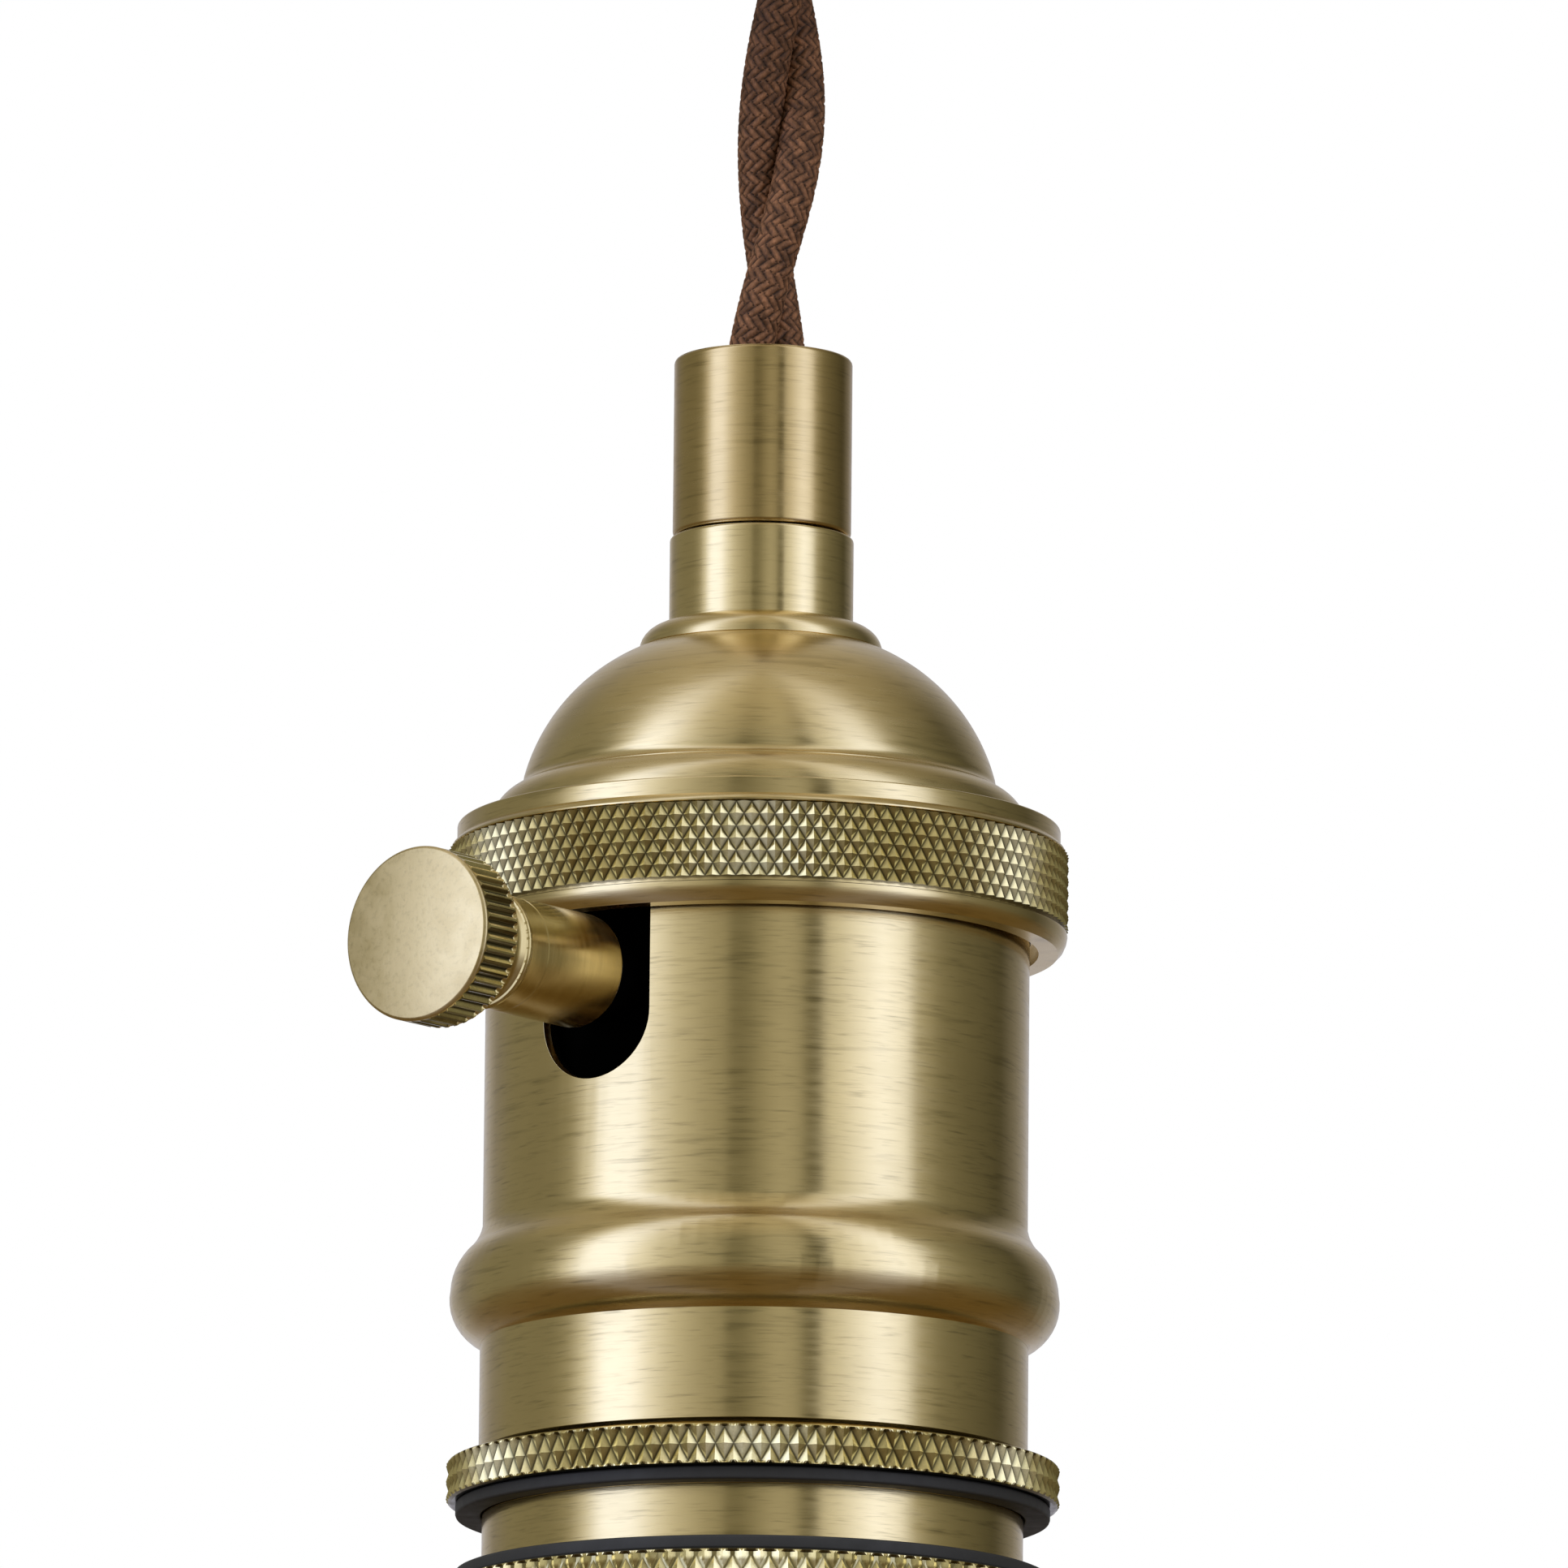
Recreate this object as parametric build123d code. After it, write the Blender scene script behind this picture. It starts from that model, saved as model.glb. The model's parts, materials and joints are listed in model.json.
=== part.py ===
"""A brass turn-knob switched lampholder for an E27 lamp, hanging on a twisted fabric cord
from a small ceiling cup.

Frame: origin at the centre of the lamp mouth, +Z up along the lamp axis, -Y towards the knob.
All sizes are in millimetres.
"""

import math
import os

from build123d import *

os.makedirs("parts", exist_ok=True)

# ---- driving dimensions -------------------------------------------------------------
# Outer shell
SHELL_R = 19.85
SHELL_WALL = 0.8
SHELL_TOP = 61.45
SKIRT_R = 19.45
SEAT_LAND_R = 19.65
SKIRT_TOP = 16.5
WAIST_R = 19.95
BEAD_LOW = 24.9
BEAD_MIDDLE = 28.75
BEAD_TURN = 31.8
BEAD_HIGH = 33.5
BEAD_R = 22.14
BEAD_TURN_R = 20.7
LIP_R = 17.6
LIP_THICK = 0.8

# Knob slot in the shell
SLOT_WIDTH = 9.6
SLOT_BOTTOM = 42.0

# Shade rings and gaskets
RING_OUTER_R = 22.3
RING_BORE_R = 19.75
GASKET_OUTER_R = 21.6
GASKET_THICK = 1.0
SEAT_LOW = 8.2
SEAT_HIGH = 12.2
UPPER_RING_TOP = 16.2
LOWER_RING_LOW = 2.8

# Lock ring
LOCK_LOW = 54.05
LOCK_TOP = 63.15
LOCK_BORE_R = 19.91
LOCK_BAND_R = 22.06
LOCK_SHOULDER = 62.2
LOCK_SHOULDER_R = 22.5
LOCK_FOOT_R = 22.6
LOCK_EDGE_R = 22.0
LOCK_RELIEF_R = 20.5
LOCK_RELIEF = 0.8
KNURL_R = 22.68
KNURL_LOW = 55.8
KNURL_TOP = 61.2
KNURL_GROOVE = 0.25
LOCK_LIP_R = 20.3
LOCK_LIP_THICK = 0.65

# Cap
CAP_WALL = 1.0
DOME_ARC_R = 14.33
DOME_ARC_X = 3.39
DOME_ARC_Z = 63.13
DOME_BASE_R = 17.2
DOME_BASE = 65.65
FLARE_R = 19.7
FLARE_LOW = 63.2
FLANGE_R = 21.1
FLANGE_THICK = 0.7
STEP_R = 8.9
STEP_LOW = 76.4
NECK_R = 6.75
NECK_LOW = 78.2
NECK_TOP = 84.8
BOSS_R = 7.3
BOSS_LOW = 75.8

# Cord entry
NIPPLE_R = 5.0
NIPPLE_BORE_R = 3.9
NIPPLE_LOW = 71.5
NIPPLE_TOP = 91.0
NUT_FLATS = 13.0
NUT_THICK = 2.6
WASHER_THICK = 0.6
GRIP_R = 6.55
GRIP_LOW = 84.95
GRIP_TOP = 98.2
GRIP_CHAMBER_R = 5.45
GRIP_ROOF = 1.1
GRIP_HOLE_R = 3.7
COLLET_R = 5.35
COLLET_BORE_R = 3.45
FIT = 0.03

# Cord: centre line from the lampholder's grip to inside the ceiling cup
CORD_R = 3.1
CORD_ROUTE = [(0, 0, 89), (0.2, 0.15, 102), (1.0, 0.75, 116), (1.15, 0.9, 130), (1.1, 0.8, 143)]
LEAD_R = 0.8
LEAD_OFFSET = 1.2

# Ceiling fitting
CEILING_X = 1.1
CEILING_Y = 0.85
CEILING_GRIP_R = 6.0
CEILING_GRIP_LOW = 129.0
CEILING_NIPPLE_LOW = 133.0
CEILING_NIPPLE_TOP = 146.0
CUP_LOW = 138.5
CUP_TOP = 160.5
CUP_R = 31.0
CUP_WALL = 1.0
CUP_ROUND = 7.0
BRACKET_WIDTH = 14.0
BRACKET_THICK = 1.5
BRACKET_HOLE_SPACING = 40.0
BRACKET_HOLE_R = 2.25
EAR_DEPTH = 10.0
SIDE_SCREW_Z = 154.0

# Lamp socket
SCREW_SHELL_R = 13.3
SCREW_SHELL_WALL = 0.4
SCREW_SHELL_LOW = 0.0
SCREW_SHELL_TOP = 23.0
BODY_R = 18.1
BODY_LOW = 1.1
BODY_TOP = 34.0
RECESS_TOP = 27.0
RECESS_R = 9.5
RIVET_Y = 11.6
RIVET_R = 1.0
RIVET_HEAD_R = 1.7
RIVET_LENGTH = 4.0
LINER_R = 18.75
LINER_WALL = 0.4
LINER_TOP = 60.0

# Switch
KNOB_Z = 49.6
HOUSING_R = 17.6
HOUSING_TOP = 57.8
COVER_TOP = 60.0
CAVITY_X = 10.0
CAVITY_Y = 8.5
CAVITY_LOW = 42.0
SHAFT_R = 2.0
SHAFT_FIT = 0.05
SHAFT_BACK = 11.5
SHAFT_FRONT = -32.5
BUSH_R = 3.2
BUSH_FRONT = -21.1
ROTOR_R = 5.5
ROTOR_HALF = 4.0
BRIDGE_R = 7.0
BRIDGE_THICK = 0.8
CAM_R = 4.6
CAM_THICK = 2.4
STRIP = 0.5
FINGER_X = 7.4
RISER_X = 9.2
STRAP_X = 11.7
STRAP_HALF = 2.0
LEAF_ROOT_X = -6.0
LEAF_ROOT_Z = 26.3
SLOT_PLAY = 0.25
TERMINAL_X = 13.8
FASTENER_X = 9.0
FASTENER_Y = 11.2

# Knob
KNOB_FACE = -40.4
KNOB_HEAD_BACK = -36.5
KNOB_HEAD_R = 6.3
KNOB_STEM_R = 4.15
KNOB_NECK_R = 3.7
KNOB_FLARE = -34.2
KNOB_BEAD_Y = -32.6
KNOB_BEAD_R = 4.55
KNOB_STEM_END = -21.4

nodes = {}


# ---- helpers ------------------------------------------------------------------------
def tube(outer, inner, low, high):
    """A ring about the lamp axis between two heights."""
    ring = Pos(0, 0, low) * Cylinder(outer, high - low, align=(Align.CENTER, Align.CENTER, Align.MIN))
    bore = Pos(0, 0, low - 1) * Cylinder(inner, high - low + 2, align=(Align.CENTER, Align.CENTER, Align.MIN))
    return ring - bore


def rod(radius, low, high):
    """A cylinder about the lamp axis between two heights."""
    return Pos(0, 0, low) * Cylinder(radius, high - low, align=(Align.CENTER, Align.CENTER, Align.MIN))


def rod_y(radius, y0, y1, x=0.0, z=KNOB_Z):
    """A cylinder along Y between two stations."""
    base = Cylinder(radius, abs(y1 - y0), align=(Align.CENTER, Align.CENTER, Align.MIN))
    return Pos(x, max(y0, y1), z) * Rot(90, 0, 0) * base


def block(x0, x1, y0, y1, z0, z1):
    """A box between two corners."""
    return Pos((x0 + x1) / 2, (y0 + y1) / 2, (z0 + z1) / 2) * Box(abs(x1 - x0), abs(y1 - y0), abs(z1 - z0))


def turned(*edges):
    """A solid of revolution about Z from edges drawn as (radius, 0, height)."""
    return revolve(make_face(Wire(edges)), Axis.Z)


def at(radius, height):
    """A point of a turned outline."""
    return Vector(radius, 0, height)


def through(*points):
    """Straight edges through turned-outline points."""
    return [Edge.make_line(a, b) for a, b in zip(points, points[1:])]


def arc(start, middle, end):
    """A circular edge through three points."""
    return Edge.make_three_point_arc(start, middle, end)


def strip(points, y0, y1, thick=STRIP):
    """A bent sheet-metal strip: a polyline in XZ given its thickness, between two Y stations."""
    half = thick / 2
    left, right = [], []
    for i, (x, z) in enumerate(points):
        back = points[max(i - 1, 0)]
        ahead = points[min(i + 1, len(points) - 1)]
        normals = []
        for (ax, az), (bx, bz) in ((back, (x, z)), ((x, z), ahead)):
            length = math.hypot(bx - ax, bz - az)
            if length > 0:
                normals.append((-(bz - az) / length, (bx - ax) / length))
        nx = sum(n[0] for n in normals)
        nz = sum(n[1] for n in normals)
        size = math.hypot(nx, nz)
        nx, nz = nx / size, nz / size
        reach = half / (nx * normals[0][0] + nz * normals[0][1])
        left.append(Vector(x + nx * reach, y0, z + nz * reach))
        right.append(Vector(x - nx * reach, y0, z - nz * reach))
    outline = left + right[::-1]
    face = make_face(Wire(through(*outline, outline[0])))
    return extrude(face, amount=abs(y1 - y0), dir=(0, 1, 0))


def hex_nut(low, thick, bore, x=0.0, y=0.0):
    """A hexagonal nut standing on a height."""
    outline = RegularPolygon(NUT_FLATS / 2, 6, major_radius=False)
    return Pos(x, y, low) * (extrude(outline, thick) - extrude(Circle(bore), thick))


def screw(x, y, head_low, length, radius=1.5, head_r=2.6, head_thick=1.8):
    """A slotted pan-head screw pointing down."""
    head = Pos(x, y, head_low) * Cylinder(head_r, head_thick, align=(Align.CENTER, Align.CENTER, Align.MIN))
    shank = Pos(x, y, head_low) * Cylinder(radius, length, align=(Align.CENTER, Align.CENTER, Align.MAX))
    slot = Pos(x, y, head_low + head_thick) * Box(2 * head_r + 1, 0.7, 1.4)
    return head + shank - slot


# ---- outer brass work ---------------------------------------------------------------
def bead_arcs(offset):
    """The rolled bead's outline, upwards: two convex arcs and a hollow one, inset by an offset."""
    bend = math.sqrt(0.5)
    low_z = BEAD_LOW + offset / 2
    low = at(WAIST_R - offset, low_z)
    below = at(WAIST_R + (BEAD_R - WAIST_R) * bend - offset, BEAD_MIDDLE - (BEAD_MIDDLE - low_z) * bend)
    crown = at(BEAD_R - offset, BEAD_MIDDLE)
    above_r = BEAD_R - 0.28 * (BEAD_R - BEAD_TURN_R)
    above = at(above_r - 0.92 * offset, (BEAD_MIDDLE + BEAD_TURN) / 2 + 0.15 - 0.38 * offset)
    turn = at(BEAD_TURN_R - offset * bend, BEAD_TURN - offset * bend)
    hollow_r = (SHELL_R + BEAD_TURN_R) / 2 - 0.1
    hollow = at(hollow_r - 0.85 * offset, (BEAD_TURN + BEAD_HIGH) / 2 - 0.1 - 0.35 * offset)
    high = at(SHELL_R - offset, BEAD_HIGH)
    return [arc(low, below, crown), arc(crown, above, turn), arc(turn, hollow, high)]


def make_outer_shell():
    """Spun shell: threaded skirt with a seat land, bead, and the open slot for the knob stem."""
    inner_skirt = SKIRT_R - 0.6
    inner = SHELL_R - SHELL_WALL
    waist_inner = WAIST_R - SHELL_WALL
    outline = through(
        at(LIP_R, 0),
        at(SKIRT_R, 0),
        at(SKIRT_R, SEAT_LOW),
        at(SEAT_LAND_R, SEAT_LOW),
        at(SEAT_LAND_R, SEAT_HIGH),
        at(SKIRT_R, SEAT_HIGH),
        at(SKIRT_R, SKIRT_TOP),
        at(WAIST_R, SKIRT_TOP + 0.4),
        at(WAIST_R, BEAD_LOW),
    )
    outline += bead_arcs(0)
    outline += through(
        at(SHELL_R, BEAD_HIGH),
        at(SHELL_R, SHELL_TOP),
        at(inner, SHELL_TOP),
        at(inner, BEAD_HIGH),
    )
    outline += reversed(bead_arcs(SHELL_WALL))
    outline += through(
        at(waist_inner, BEAD_LOW + SHELL_WALL / 2),
        at(waist_inner, SKIRT_TOP + 0.4),
        at(inner_skirt, SKIRT_TOP),
        at(inner_skirt, LIP_THICK),
        at(LIP_R, LIP_THICK),
        at(LIP_R, 0),
    )
    slot_centre = SLOT_BOTTOM + SLOT_WIDTH / 2
    slot = rod_y(SLOT_WIDTH / 2, -SHELL_R + 6, -SHELL_R - 6, z=slot_centre)
    slot += block(-SLOT_WIDTH / 2, SLOT_WIDTH / 2, -SHELL_R - 6, -SHELL_R + 6, slot_centre, SHELL_TOP + 1)
    return turned(*outline) - slot


def make_lock_ring():
    """Knurled coupling ring whose lip holds the cap's flange down on the shell."""
    lip_low = LOCK_TOP - LOCK_LIP_THICK
    foot_top = KNURL_LOW - KNURL_GROOVE
    edge = 0.15
    outline = through(at(LOCK_RELIEF_R, LOCK_LOW), at(LOCK_EDGE_R, LOCK_LOW + 0.05))
    outline.append(
        arc(
            at(LOCK_EDGE_R, LOCK_LOW + 0.05),
            at(LOCK_EDGE_R + 0.85 * (LOCK_FOOT_R - LOCK_EDGE_R), (LOCK_LOW + foot_top) / 2 - 0.1),
            at(LOCK_FOOT_R, foot_top),
        )
    )
    outline += through(
        at(LOCK_FOOT_R, foot_top),
        at(KNURL_R - 0.4, foot_top),
        at(KNURL_R - 0.4, KNURL_LOW),
        at(KNURL_R, KNURL_LOW),
        at(KNURL_R, KNURL_TOP),
        at(LOCK_SHOULDER_R, KNURL_TOP),
        at(LOCK_SHOULDER_R, KNURL_TOP + KNURL_GROOVE),
    )
    outline.append(
        arc(
            at(LOCK_SHOULDER_R, KNURL_TOP + KNURL_GROOVE),
            at(LOCK_BAND_R + 0.13, (KNURL_TOP + LOCK_SHOULDER) / 2 + 0.05),
            at(LOCK_BAND_R, LOCK_SHOULDER),
        )
    )
    outline += through(
        at(LOCK_BAND_R, LOCK_SHOULDER),
        at(LOCK_BAND_R, LOCK_TOP - edge),
        at(LOCK_BAND_R - edge, LOCK_TOP),
        at(LOCK_LIP_R, LOCK_TOP),
        at(LOCK_LIP_R, lip_low),
        at(FLANGE_R + 0.1, lip_low),
        at(FLANGE_R + 0.1, SHELL_TOP + FIT),
        at(LOCK_BORE_R, SHELL_TOP + FIT),
        at(LOCK_BORE_R, LOCK_LOW + LOCK_RELIEF),
        at(LOCK_RELIEF_R, LOCK_LOW + LOCK_RELIEF),
        at(LOCK_RELIEF_R, LOCK_LOW),
    )
    return turned(*outline)


def dome_height(radius, arc_radius):
    """Height of the dome's arc over a radius."""
    return DOME_ARC_Z + math.sqrt(arc_radius**2 - (radius - DOME_ARC_X) ** 2)


def dome_arc(inner_r, outer_r, arc_radius):
    """The dome's outline from near the crown out to its base."""
    middle = (inner_r + outer_r) / 2
    points = [at(r, dome_height(r, arc_radius)) for r in (inner_r, middle, outer_r)]
    return arc(*points)


def shoulder_arc(top_r, top, low_r, low):
    """A convex quarter round from a nearly level start to an upright end."""
    bend = math.sqrt(0.5)
    return arc(at(top_r, top), at(top_r + (low_r - top_r) * bend, low + (top - low) * bend), at(low_r, low))


def make_cap():
    """Spun dome with a rounded crown step, a short upright band, a rounded shoulder and a flange."""
    inner_base = DOME_BASE_R - CAP_WALL
    inner_arc_r = DOME_ARC_R - CAP_WALL
    inner_low = FLARE_R - CAP_WALL
    inner_top = DOME_BASE - CAP_WALL
    crown_r = STEP_R - 0.1
    flange_low = SHELL_TOP + 0.05
    flange_top = flange_low + FLANGE_THICK
    hole = NIPPLE_R + 0.05
    outline = through(at(hole, NECK_LOW), at(NECK_R + 0.1, NECK_LOW))
    outline.append(shoulder_arc(NECK_R + 0.1, NECK_LOW, STEP_R, STEP_LOW))
    outline += through(at(STEP_R, STEP_LOW), at(crown_r, dome_height(crown_r, DOME_ARC_R)))
    outline.append(dome_arc(crown_r, DOME_BASE_R, DOME_ARC_R))
    outline += through(at(DOME_BASE_R, dome_height(DOME_BASE_R, DOME_ARC_R)), at(DOME_BASE_R, DOME_BASE))
    outline.append(shoulder_arc(DOME_BASE_R, DOME_BASE, FLARE_R, FLARE_LOW))
    outline += through(
        at(FLARE_R, FLARE_LOW),
        at(FLARE_R, flange_top),
        at(FLANGE_R, flange_top),
        at(FLANGE_R, flange_low),
        at(inner_low, flange_low),
        at(inner_low, FLARE_LOW),
    )
    outline.append(shoulder_arc(inner_base, inner_top, inner_low, FLARE_LOW))
    outline += through(at(inner_base, inner_top), at(inner_base, dome_height(inner_base, inner_arc_r)))
    outline.append(dome_arc(BOSS_R, inner_base, inner_arc_r))
    outline += through(
        at(BOSS_R, dome_height(BOSS_R, inner_arc_r)),
        at(BOSS_R, BOSS_LOW),
        at(hole, BOSS_LOW),
        at(hole, NECK_LOW),
    )
    return turned(*outline)


def make_neck_collar():
    """Turned collar between the cap and the cord grip, chamfered at its upper edge."""
    chamfer_size = 0.15
    return turned(
        *through(
            at(NIPPLE_R + FIT, NECK_LOW),
            at(NECK_R, NECK_LOW),
            at(NECK_R, NECK_TOP - chamfer_size),
            at(NECK_R - chamfer_size, NECK_TOP),
            at(NIPPLE_R + FIT, NECK_TOP),
            at(NIPPLE_R + FIT, NECK_LOW),
        )
    )


def make_shade_ring(low, high):
    """Knurled nut with broken edges, for holding a glass shade."""
    chamfer_size = 0.25
    return turned(
        *through(
            at(RING_BORE_R, low),
            at(RING_OUTER_R - chamfer_size, low),
            at(RING_OUTER_R, low + chamfer_size),
            at(RING_OUTER_R, high - chamfer_size),
            at(RING_OUTER_R - chamfer_size, high),
            at(RING_BORE_R, high),
            at(RING_BORE_R, low),
        )
    )


def outer_brass():
    nodes["outer_shell"] = make_outer_shell()
    nodes["lock_ring"] = make_lock_ring()
    nodes["cap"] = make_cap()
    nodes["neck_collar"] = make_neck_collar()
    upper_low = SEAT_HIGH + GASKET_THICK
    lower_top = SEAT_LOW - GASKET_THICK
    nodes["upper_shade_ring"] = make_shade_ring(upper_low, UPPER_RING_TOP)
    nodes["lower_shade_ring"] = make_shade_ring(LOWER_RING_LOW, lower_top)
    nodes["upper_gasket"] = tube(GASKET_OUTER_R, RING_BORE_R, SEAT_HIGH, upper_low)
    nodes["lower_gasket"] = tube(GASKET_OUTER_R, RING_BORE_R, lower_top, SEAT_LOW)


# ---- cord entry ---------------------------------------------------------------------
def make_grip(x, y, radius, low, top, roof_at_top, thread_length):
    """Turned cord grip: a thread bore at one end and a collet chamber under a roof."""
    height = top - low
    body = Pos(x, y, low) * Cylinder(radius, height, align=(Align.CENTER, Align.CENTER, Align.MIN))
    rims = body.edges().filter_by(GeomType.CIRCLE)
    body = chamfer(rims, 0.2)
    chamber_low = low + (thread_length if roof_at_top else GRIP_ROOF)
    chamber_high = top - (GRIP_ROOF if roof_at_top else thread_length)
    body -= Pos(x, y, 0) * rod(GRIP_HOLE_R, low - 1, top + 1)
    body -= Pos(x, y, 0) * rod(GRIP_CHAMBER_R, chamber_low, chamber_high)
    thread_low = low - 1 if roof_at_top else chamber_high - 0.1
    thread_high = chamber_low + 0.1 if roof_at_top else top + 1
    body -= Pos(x, y, 0) * rod(NIPPLE_R + 0.05, thread_low, thread_high)
    return body


def make_collet(x, y, low, high):
    """Split nylon collet that closes on the cord."""
    slit = 0.8
    ring = Pos(x, y, 0) * tube(COLLET_R, COLLET_BORE_R, low, high)
    return ring - Pos(x, y, 0) * block(0, COLLET_R + 1, -slit / 2, slit / 2, low - 1, high + 1)


def tube_along(points, radius):
    """A round tube along straight runs joined by tangent arcs as large as the runs allow."""
    corners = [Vector(*p) for p in points]
    radii = []
    for before, here, after in zip(corners, corners[1:], corners[2:]):
        turn = math.radians((here - before).get_angle(after - here))
        shorter = min((here - before).length, (after - here).length)
        radii.append(0.45 * shorter / math.tan(turn / 2))
    path = FilletPolyline(*corners, radius=radii)
    start = Plane(origin=corners[0], z_dir=corners[1] - corners[0])
    return sweep(start * Circle(radius), path=path), path, radii


def make_cord():
    """The twisted cord's outer envelope."""
    solid, path, radii = tube_along(CORD_ROUTE, CORD_R)
    print("cord arcs, mm:", [round(r) for r in radii], "length, mm:", round(path.length, 1))
    print("cord volume / (section x length):", round(solid.volume / (math.pi * CORD_R**2 * path.length), 4))
    return solid


def make_lead(side):
    """Insulated conductor from the cord's end, down through the nipple, to a terminal."""
    route = [
        (side * LEAD_OFFSET, 0, CORD_ROUTE[0][2] - 0.1),
        (side * LEAD_OFFSET, 0, NIPPLE_LOW - 0.9),
        (side * 11.5, 4.2, 67.6),
        (side * (TERMINAL_X + 0.2), 4.3, COVER_TOP + STRIP + 0.25),
    ]
    path = FilletPolyline(*[Vector(*p) for p in route], radius=[2.6, 2.0])
    start = Plane(origin=Vector(*route[0]), z_dir=(0, 0, -1))
    return sweep(start * Circle(LEAD_R), path=path)


def cord_entry():
    nodes["nipple"] = tube(NIPPLE_R, NIPPLE_BORE_R, NIPPLE_LOW, NIPPLE_TOP)
    washer_low = BOSS_LOW - WASHER_THICK
    nodes["nipple_washer"] = tube(BOSS_R - 0.1, NIPPLE_R + FIT, washer_low, BOSS_LOW)
    nodes["nipple_nut"] = hex_nut(washer_low - NUT_THICK, NUT_THICK, NIPPLE_R + FIT)
    thread_length = NIPPLE_TOP + 0.2 - GRIP_LOW
    nodes["cord_grip"] = make_grip(0, 0, GRIP_R, GRIP_LOW, GRIP_TOP, True, thread_length)
    collet_top = GRIP_TOP - GRIP_ROOF - 0.05
    nodes["grip_collet"] = make_collet(0, 0, NIPPLE_TOP + 0.25, collet_top)
    nodes["cord"] = make_cord()
    nodes["live_lead"] = make_lead(1)
    nodes["neutral_lead"] = make_lead(-1)


# ---- lamp socket --------------------------------------------------------------------
def fastener_places():
    """Where the two long screws join the switch housing to the socket body."""
    return [(FASTENER_X, FASTENER_Y), (-FASTENER_X, -FASTENER_Y)]


def strap_slot(x, low, high):
    """Clear slot for a strip standing at a station."""
    half = STRIP / 2 + SLOT_PLAY
    return block(x - half, x + half, -STRAP_HALF - SLOT_PLAY, STRAP_HALF + SLOT_PLAY, low, high)


def make_socket_body():
    """Moulded body around the lamp's screw shell, with a recess for the centre contact."""
    bore = SCREW_SHELL_R + SCREW_SHELL_WALL + 0.02
    seat = SCREW_SHELL_TOP + 0.02
    body = chamfer(rod(BODY_R, BODY_LOW, BODY_TOP).edges().filter_by(GeomType.CIRCLE), 0.6)
    body -= rod(bore, BODY_LOW - 1, seat)
    body -= rod(RECESS_R, seat - 1, RECESS_TOP)
    body -= strap_slot(-STRAP_X, seat - 1, BODY_TOP + 1)
    body -= block(-RISER_X - 0.5, -RISER_X + 0.5, -1.9, 2.7, RECESS_TOP - 0.6, BODY_TOP + 1)
    body -= block(-STRAP_X - 0.5, -RECESS_R + 0.5, -2.25, 2.25, seat - 1, seat + STRIP + 0.2)
    for x, y in fastener_places():
        body -= Pos(x, y, 28) * Cylinder(1.55, 10, align=(Align.CENTER, Align.CENTER, Align.MIN))
    for y in (-RIVET_Y, RIVET_Y):
        body -= Pos(0, y, 0) * rod(RIVET_R + 0.05, seat - 1, seat + RIVET_LENGTH)
    return body


def make_screw_shell():
    """Drawn brass shell that takes the lamp's cap, with an inward flange at its closed end."""
    outer = SCREW_SHELL_R + SCREW_SHELL_WALL
    shell = tube(outer, SCREW_SHELL_R, SCREW_SHELL_LOW, SCREW_SHELL_TOP)
    shell += tube(outer, RECESS_R, SCREW_SHELL_TOP - SCREW_SHELL_WALL, SCREW_SHELL_TOP)
    for y in (-RIVET_Y, RIVET_Y):
        shell -= countersunk_head(y, 0.02)
    return shell


def countersunk_head(y, play):
    """Cone of a flush rivet's head in the screw shell's flange."""
    upright = (Align.CENTER, Align.CENTER, Align.MIN)
    cone = Cone(RIVET_HEAD_R + play, RIVET_R + play, SCREW_SHELL_WALL, align=upright)
    return Pos(0, y, SCREW_SHELL_TOP - SCREW_SHELL_WALL) * cone


def make_shell_rivets():
    """Flush rivets that hold the screw shell up to the socket body."""
    rivets = []
    for y in (-RIVET_Y, RIVET_Y):
        shank = Pos(0, y, 0) * rod(RIVET_R, SCREW_SHELL_TOP - 0.1, SCREW_SHELL_TOP + RIVET_LENGTH)
        rivets.append(countersunk_head(y, 0) + shank)
    return Compound(children=rivets)


def make_centre_foot():
    """Riveted foot of the centre contact with its riser to the left switch finger."""
    flat = RECESS_TOP - STRIP / 2 - 0.02
    lean = 44.5
    points = [
        (-6.4, flat),
        (-RISER_X, flat),
        (-RISER_X, lean),
        (-FINGER_X - 0.3, lean + 1.6),
        (-FINGER_X, KNOB_Z),
        (-FINGER_X - 0.3, KNOB_Z + 3.6),
    ]
    return strip(points, 2.4 - 2 * STRAP_HALF, 2.4)


def make_centre_leaf():
    """Sprung leaf of the centre contact, bowed down to meet the lamp's tip, with a rounded root."""
    points = [(LEAF_ROOT_X, LEAF_ROOT_Z), (-4.6, 25.8), (0.6, 23.9), (2.4, 23.8), (5.4, 24.4)]
    root = rod_y(STRIP / 2, STRAP_HALF, -STRAP_HALF, LEAF_ROOT_X, LEAF_ROOT_Z)
    return strip(points, -STRAP_HALF, STRAP_HALF) + root


def make_side_strap():
    """Strap from the screw shell's flange up to the neutral terminal."""
    top = COVER_TOP + STRIP / 2
    low = SCREW_SHELL_TOP + STRIP / 2 + 0.02
    points = [(-10.2, low), (-STRAP_X, low), (-STRAP_X, top), (-TERMINAL_X - 2.0, top)]
    return strip(points, -STRAP_HALF, STRAP_HALF) + terminal_plate(-1)


def make_live_contact():
    """Right-hand switch finger rising to the live terminal."""
    top = COVER_TOP + STRIP / 2
    points = [
        (FINGER_X + 0.3, KNOB_Z - 3.6),
        (FINGER_X, KNOB_Z),
        (FINGER_X + 0.3, KNOB_Z + 3.6),
        (RISER_X, KNOB_Z + 5.4),
        (RISER_X, top),
        (TERMINAL_X + 2.0, top),
    ]
    return strip(points, 2.4 - 2 * STRAP_HALF, 2.4) + terminal_plate(1)


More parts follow.
